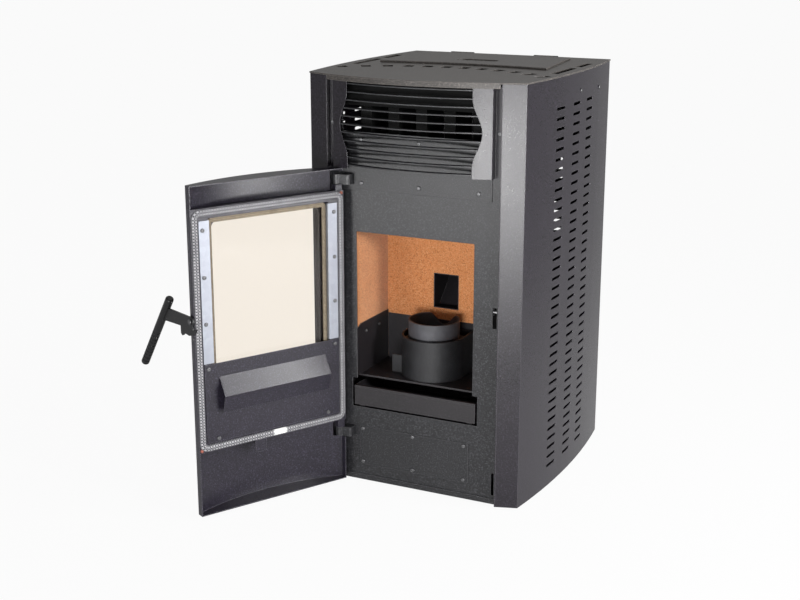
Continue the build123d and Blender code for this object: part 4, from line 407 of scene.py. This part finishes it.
def sheet_metal(name, colour, roughness, crystals):
    metal = Finish(name)
    at = metal.place()
    cell = metal.node("SeparateColor", {}, (metal.cells(at, 90, "Color"),))
    rolled = metal.noise(metal.place(ROLLING), 30, 3)
    smudge = metal.noise(at, 14, 3)
    rounded, rim = metal.soft_edge(0.0006)
    tone = metal.mix(cell * crystals, colour, shade(colour, 0.8))
    tone = metal.mix(smudge.between(0.5, 0.8) * 0.3, tone, shade(colour, 0.7))
    # Painted highlight: a lighter colour along the edges.
    tone = metal.mix(rim * 0.4, tone, shade(colour, 1.2))
    return metal.surface({
        "Base Color": tone,
        "Metallic": 0.95,
        "Roughness": roughness - 0.06 + 0.12 * smudge + 0.06 * rolled,
        "Normal": metal.bump(rolled, 0.00008, rounded),
    })


bright_zinc = sheet_metal("bright_zinc", (0.35, 0.365, 0.41), 0.54, 0.4)
bare_sheet = sheet_metal("bare_sheet", (0.50, 0.50, 0.51), 0.42, 0.25)
cast_motor = sheet_metal("cast_motor", (0.45, 0.45, 0.47), 0.5, 0.1)
dull_screw = sheet_metal("dull_screw", (0.16, 0.16, 0.165), 0.36, 0.2)
print("four metals")

# %% [markdown]
# ## Plastics and the handle
# The handle is satin black, smoother than the casing. The rocker, plug socket and control board are moulded
# plastic with a fine spark-eroded texture.

# %% Moulded plastics
def moulded(name, colour, roughness):
    plastic = Finish(name)
    at = plastic.place()
    spark = plastic.noise(at, 1100, 2)
    cloud = plastic.noise(at, 20, 2)
    rounded, rim = plastic.soft_edge(0.0008)
    tone = plastic.mix(cloud, shade(colour, 0.85), shade(colour, 1.15))
    # Painted highlight: a lighter colour along the edges.
    tone = plastic.mix(rim * 0.3, tone, shade(colour, 1.6, 0.01))
    return plastic.surface({
        "Base Color": tone,
        "Roughness": roughness + 0.1 * spark,
        "Normal": plastic.bump(spark, 0.0001, rounded),
        "Specular IOR Level": 0.35,
    })


handle_black = moulded("handle_black", (0.008, 0.008, 0.009), 0.34)
black_plastic = moulded("black_plastic", (0.022, 0.022, 0.022), 0.45)
board_green = moulded("board_green", (0.02, 0.10, 0.045), 0.4)
print("three plastics")

# %% [markdown]
# ## Ceramic glass
# Fire windows are glass ceramic, faintly cream, and clear enough to show the white behind. Handling leaves
# a veil on them, which only changes the roughness. The index is a little low, so that the window mirrors
# less of the lights.

# %% Window glass
def ceramic_glass(name):
    glass = Finish(name)
    veil = glass.noise(glass.place(), 12, 4)
    return glass.surface({
        "Base Color": (0.905, 0.835, 0.745),
        "Roughness": 0.02 + 0.06 * veil.between(0.5, 0.8),
        "Transmission Weight": 1.0,
        "IOR": 1.3,
    })


window_glass = ceramic_glass("window_glass")
print("window glass")

# %% [markdown]
# ## Dress the CAD parts
# The record names a finish for every CAD part. A few parts share a slot but look different in the photograph,
# such as the cup and its holder, so they are named one by one. The two rope solids get none, because woven
# ropes take their place.

# %% Give each part its finish
finish_of_slot = {
    "casing_paint": casing_coat,
    "front_paint": front_coat,
    "door_paint": door_coat,
    "handle_paint": handle_black,
    "fire_steel": fire_black,
    "cast_iron": holder_iron,
    "fire_board": board_finish,
    "bare_steel": bare_sheet,
    "zinc_steel": bright_zinc,
    "screw_steel": dull_screw,
    "fire_glass": window_glass,
    "motor_steel": cast_motor,
    "black_plastic": black_plastic,
    "board_plastic": board_green,
}
finish_of_part = {
    "burn_pot_cup": cup_iron,
    "top_plate": top_coat,
    "hopper_lid": top_coat,
    "exchanger_tubes": dark_coat_and_shade,
    "exchanger_header": dark_coat_and_shade,
    "flue_duct": dark_coat_and_shade,
}
dressed = 0
for node, slot in slot_of.items():
    material = finish_of_part.get(node) or finish_of_slot.get(slot)
    if material:
        parts[node].data.materials.clear()
        parts[node].data.materials.append(material)
        dressed += 1
print("dressed", dressed, "of", len(parts))

# %% [markdown]
# ## A place on the open door
# The ropes follow the door's inner face, which is easy to describe with the door shut: width, depth and
# height. A turn about the hinge pin then carries a point to where it is with the door open.

# %% From the shut door to the open door
HINGE = Vector((-0.1825, -0.2972, 0))
DOOR_FACE = -0.2822    # where the inner face of the shut door lies along the depth
OPENED = -118.26       # degrees from shut to open
turned = Matrix.Rotation(math.radians(OPENED), 4, "Z")
SWUNG = Matrix.Translation(HINGE) @ turned @ Matrix.Translation(-HINGE)
print("free edge of the open door at", [round(c, 3) for c in SWUNG @ Vector((0.19, DOOR_FACE, 0.5))])

# %% [markdown]
# ## A rope that closes on itself
# Both ropes run round a rectangle with rounded corners. The loop is sampled at even steps, and each sample
# keeps the direction that points outward, so that a cross-section can be laid on it.

# %% Sample a rounded rectangle
# Each loop is half width, low, high and bend, on the shut door
DOOR_LOOP = (0.1816, 0.1694, 0.6931, 0.012)
WINDOW_LOOP = (0.1435, 0.3325, 0.6735, 0.0062)


def rounded_loop(half, low, high, bend, count):
    """Even samples of a closed rounded rectangle: places and outward directions, as (across, height)."""
    wide = 2 * (half - bend)
    tall = high - low - 2 * bend
    turn = math.pi / 2 * bend
    total = 2 * wide + 2 * tall + 4 * turn
    corners = [(half - bend, low + bend, -90), (half - bend, high - bend, 0),
               (-half + bend, high - bend, 90), (-half + bend, low + bend, 180)]
    rows = []
    for i in range(count):
        s = total * i / count
        if s < wide:
            rows.append((-half + bend + s, low, 0, -1))
            continue
        s -= wide
        for k, (x, z, start) in enumerate(corners):
            run = (tall, wide, tall, 0)[k]
            if s < turn:
                a = math.radians(start + 90 * s / turn)
                rows.append((x + bend * math.cos(a), z + bend * math.sin(a), math.cos(a), math.sin(a)))
                break
            s -= turn
            a = math.radians(start + 90)
            if s < run:
                ahead = Vector((-math.sin(a), math.cos(a)))
                rows.append((x + bend * math.cos(a) + ahead[0] * s, z + bend * math.sin(a) + ahead[1] * s,
                             math.cos(a), math.sin(a)))
                break
            s -= run
    return np.array(rows), total


print("loop of the door rope", round(rounded_loop(*DOOR_LOOP, 8)[1], 3), "m")

# %% [markdown]
# ## Two families of yarn
# A braid is two families of yarn that wind opposite ways and pass over and under each other. Each crossing
# could be built from bent tubes, but thousands of them are slow. A single skin whose height follows the
# higher yarn looks the same from outside, is closed, and knows at every point which yarn is on top.

# %% Height of a plain braid
ROUND = 0.62           # share of a yarn's height that comes from its round back
WAVE = 0.38            # share that comes from going over and under
BULGE_STEP = 0.0008    # the rise over which a rope widens above its groove
LIP = 0.0002           # how far above the door's face it starts to widen


def braid(p, q):
    """For yarn coordinates p and q: height from 0 to 1 and which family is on top."""
    i, j = np.floor(p), np.floor(q)
    round_p = 1 - (2 * (p - i) - 1) ** 2
    round_q = 1 - (2 * (q - j) - 1) ** 2
    over_p = np.cos(np.pi * (q - 0.5 + i))
    over_q = -np.cos(np.pi * (p - 0.5 + j))
    high_p = ROUND * np.sqrt(round_p) + WAVE * over_p
    high_q = ROUND * np.sqrt(round_q) + WAVE * over_q
    return np.clip(np.maximum(high_p, high_q), 0, 1), high_p > high_q


def section(half_across, half_deep, square, count, bulge, sink):
    """Even samples of a cross-section, wider by the share bulge where it rises above sink.

    It is round where square is 2 and nears a rectangle as square grows.
    """
    a = np.linspace(0, 2 * np.pi, 721)
    x = half_across * np.sign(np.cos(a)) * np.abs(np.cos(a)) ** (2 / square)
    y = half_deep * np.sign(np.sin(a)) * np.abs(np.sin(a)) ** (2 / square)
    x = x * (1 + bulge * np.clip((y - sink) / BULGE_STEP, 0, 1))
    s = np.concatenate([[0], np.cumsum(np.hypot(np.diff(x), np.diff(y)))])
    even = np.linspace(0, s[-1], count + 1)[:-1]
    return np.interp(even, s, x), np.interp(even, s, y), s[-1]


print("a crossing's top is at", round(float(braid(np.array([0.5]), np.array([0.5]))[0][0]), 2))

# %% Weave a rope round a loop
def woven_rope(name, loop, depth, half_across, half_deep, square, plaits, swell, fine, bulge=0.0):
    """A closed woven rope on the open door.

    Depth is how far its middle line stands out of the door's face, below 0 in a groove. Swell is how far a
    yarn rises, plaits how many crossings go round the rope, and fine how many points each crossing gets.
    """
    length = rounded_loop(*loop, 4)[1]
    around = plaits * fine
    xs, ys, girth = section(half_across - swell, half_deep - swell, square, around, bulge, LIP - depth)
    pitch = girth / plaits
    repeats = 2 * round(length / pitch / 2)
    along = repeats * fine
    rows, _ = rounded_loop(*loop, along)
    u, v = np.meshgrid(np.arange(along) / fine, np.arange(around) / fine, indexing="ij")
    height, top = braid(u + v, u - v)
    reach = np.hypot(xs, ys)
    out = xs[None, :] + swell * height * (xs / reach)[None, :]
    deep = ys[None, :] + swell * height * (ys / reach)[None, :]
    across = rows[:, 0, None] + rows[:, 2, None] * out
    up = rows[:, 1, None] + rows[:, 3, None] * out
    shut = np.stack([across, DOOR_FACE + depth + deep, up, np.ones_like(up)], -1).reshape(-1, 4)
    places = shut @ np.array(SWUNG).T
    n = np.arange(along * around).reshape(along, around)
    right, ahead = np.roll(n, -1, 1), np.roll(n, -1, 0)
    faces = np.stack([n, ahead, np.roll(ahead, -1, 1), right], -1).reshape(-1, 4)
    mesh = bpy.data.meshes.new(name)
    mesh.from_pydata(places[:, :3].tolist(), [], faces.tolist())
    mesh.shade_smooth()
    for key, values in (("raised", height), ("first_yarn", top.astype(float)), ("across", across)):
        stored = mesh.attributes.new(key, "FLOAT", "POINT")
        stored.data.foreach_set("value", values.ravel().astype(np.float32))
    rope = bpy.data.objects.new(name, mesh)
    bpy.context.scene.collection.objects.link(rope)
    print(name, round(length, 3), "m long,", repeats, "repeats of", round(pitch * 1000, 2), "mm")
    return rope


# %% [markdown]
# ## The door rope
# The braid is glass yarn, pale grey one way and darker grey the other, with painted shade, near black, down
# between the yarns. Where its ends meet, at the foot of the door, a patch of white glue fills the weave. The
# yarn's own twist is too fine to model, so it is a bump. The window's rope is the same kind of weave, finer,
# flat and brown, with the same painted shade between its yarns.

# %% Yarn finishes
GLUE_WHITE = (0.82, 0.82, 0.80)
GLUED_FROM, GLUED_TO = -0.0265, 0.0025    # across the shut door
FUZZ = 0.0004                             # height of the yarn's hairs


def yarn_finish(name, first, second, gap_shade, glued=False):
    yarn = Finish(name)
    at = yarn.place()
    raised = yarn.node("Attribute", {"attribute_name": "raised"}, output="Fac")
    top = yarn.node("Attribute", {"attribute_name": "first_yarn"}, output="Fac")
    hair = yarn.noise(at, 1300, 3, 0.7)
    patch = yarn.noise(at, 60, 3)
    tone = yarn.mix(top, second, first)
    tone = yarn.mix(hair.between(0.4, 0.75) * 0.4, tone, shade(first, 1.35))
    tone = yarn.mix(patch.between(0.45, 0.75) * 0.35, tone, shade(second, 0.6))
    # Painted shade: where the skin is low, between the yarns, the colour goes near black.
    tone = yarn.mix(1 - raised.between(0.48, 0.80), tone, gap_shade)
    if glued:
        across = yarn.node("Attribute", {"attribute_name": "across"}, output="Fac")
        at_foot = yarn.node("SeparateXYZ", {}, (at,), "Z").between(0.19, 0.18)
        near = across.between(GLUED_FROM - 0.006, GLUED_FROM + 0.003)
        near = near * across.between(GLUED_TO + 0.006, GLUED_TO - 0.003)
        tone = yarn.mix(near * at_foot * 0.85, tone, GLUE_WHITE)
    return yarn.surface({
        "Base Color": tone,
        "Roughness": 0.75 + 0.2 * hair,
        "Normal": yarn.bump(hair, FUZZ),
        "Specular IOR Level": 0.3,
    })


door_yarn = yarn_finish("door_yarn", (0.36, 0.355, 0.37), (0.14, 0.14, 0.15), (0.004, 0.003, 0.004), glued=True)
window_yarn = yarn_finish("window_yarn", (0.34, 0.28, 0.20), (0.13, 0.105, 0.075), (0.03, 0.025, 0.018))
print("two yarns")

# %% Both ropes
door_rope = woven_rope("braided_door_rope", DOOR_LOOP, depth=-0.0023, half_across=0.0072, half_deep=0.0072,
                       square=2.0, plaits=6, swell=0.0013, fine=10, bulge=0.24)
door_rope.data.materials.append(door_yarn)
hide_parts("door_rope_gasket")
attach(door_rope, "door")
window_rope = woven_rope("woven_window_rope", WINDOW_LOOP, depth=-0.0093, half_across=0.0055, half_deep=0.0025,
                         square=4.0, plaits=8, swell=0.0006, fine=6)
window_rope.data.materials.append(window_yarn)
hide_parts("glass_rope")
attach(window_rope, "door")

# %% [markdown]
# ## Dabs of sealant
# Two corners of the door rope carry a dab of red fire sealant. A dab is a squashed blob with a lumpy skin, so
# a sphere's points are pushed in and out by noise.

# %% Sealant dabs
DAB_RADII = (0.0042, 0.0030, 0.0042)
DAB_DEPTH = -0.0005    # its middle is just inside the door's face


def sealant():
    paste = Finish("fire_sealant")
    at = paste.place()
    grain = paste.noise(at, 500, 3)
    tone = paste.mix(grain, (0.16, 0.045, 0.03), (0.30, 0.09, 0.06))
    return paste.surface({
        "Base Color": tone,
        "Roughness": 0.6 + 0.2 * grain,
        "Normal": paste.bump(grain, 0.0003),
    })


def dab(name, across, height, material):
    """A lumpy blob on the inner face of the open door."""
    rings, turns = 10, 16
    points = [Vector((0, 0, 1))]
    for r in range(1, rings):
        a = math.pi * r / rings
        points += [Vector((math.sin(a) * math.cos(2 * math.pi * t / turns),
                           math.sin(a) * math.sin(2 * math.pi * t / turns), math.cos(a))) for t in range(turns)]
    points.append(Vector((0, 0, -1)))
    faces = [(0, 1 + t, 1 + (t + 1) % turns) for t in range(turns)]
    for r in range(rings - 2):
        a, b = 1 + r * turns, 1 + (r + 1) * turns
        faces += [(a + t, b + t, b + (t + 1) % turns, a + (t + 1) % turns) for t in range(turns)]
    last = len(points) - 1
    faces += [(last, last - turns + (t + 1) % turns, last - turns + t) for t in range(turns)]
    centre = Vector((across, DOOR_FACE + DAB_DEPTH, height))
    lumpy = [p * (1 + 0.3 * noise.noise(p * 1.7 + centre * 40)) for p in points]
    wide, deep, tall = DAB_RADII
    placed = [SWUNG @ (centre + Vector((p.x * wide, p.y * deep, p.z * tall))) for p in lumpy]
    mesh = bpy.data.meshes.new(name)
    mesh.from_pydata([tuple(p) for p in placed], [], faces)
    mesh.shade_smooth()
    mesh.materials.append(material)
    blob = bpy.data.objects.new(name, mesh)
    bpy.context.scene.collection.objects.link(blob)
    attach(blob, "door")


paste = sealant()
dab("sealant_dab_low", 0.1845, 0.1662, paste)
dab("sealant_dab_high", -0.1845, 0.6962, paste)
print("two dabs of sealant")

# %% [markdown]
# ## The dressed stove
# The dressed stove must keep the CAD's size.
# The dressed stove must keep the CAD's size, so both boxes are written down side by side.


print("the stove is dressed")
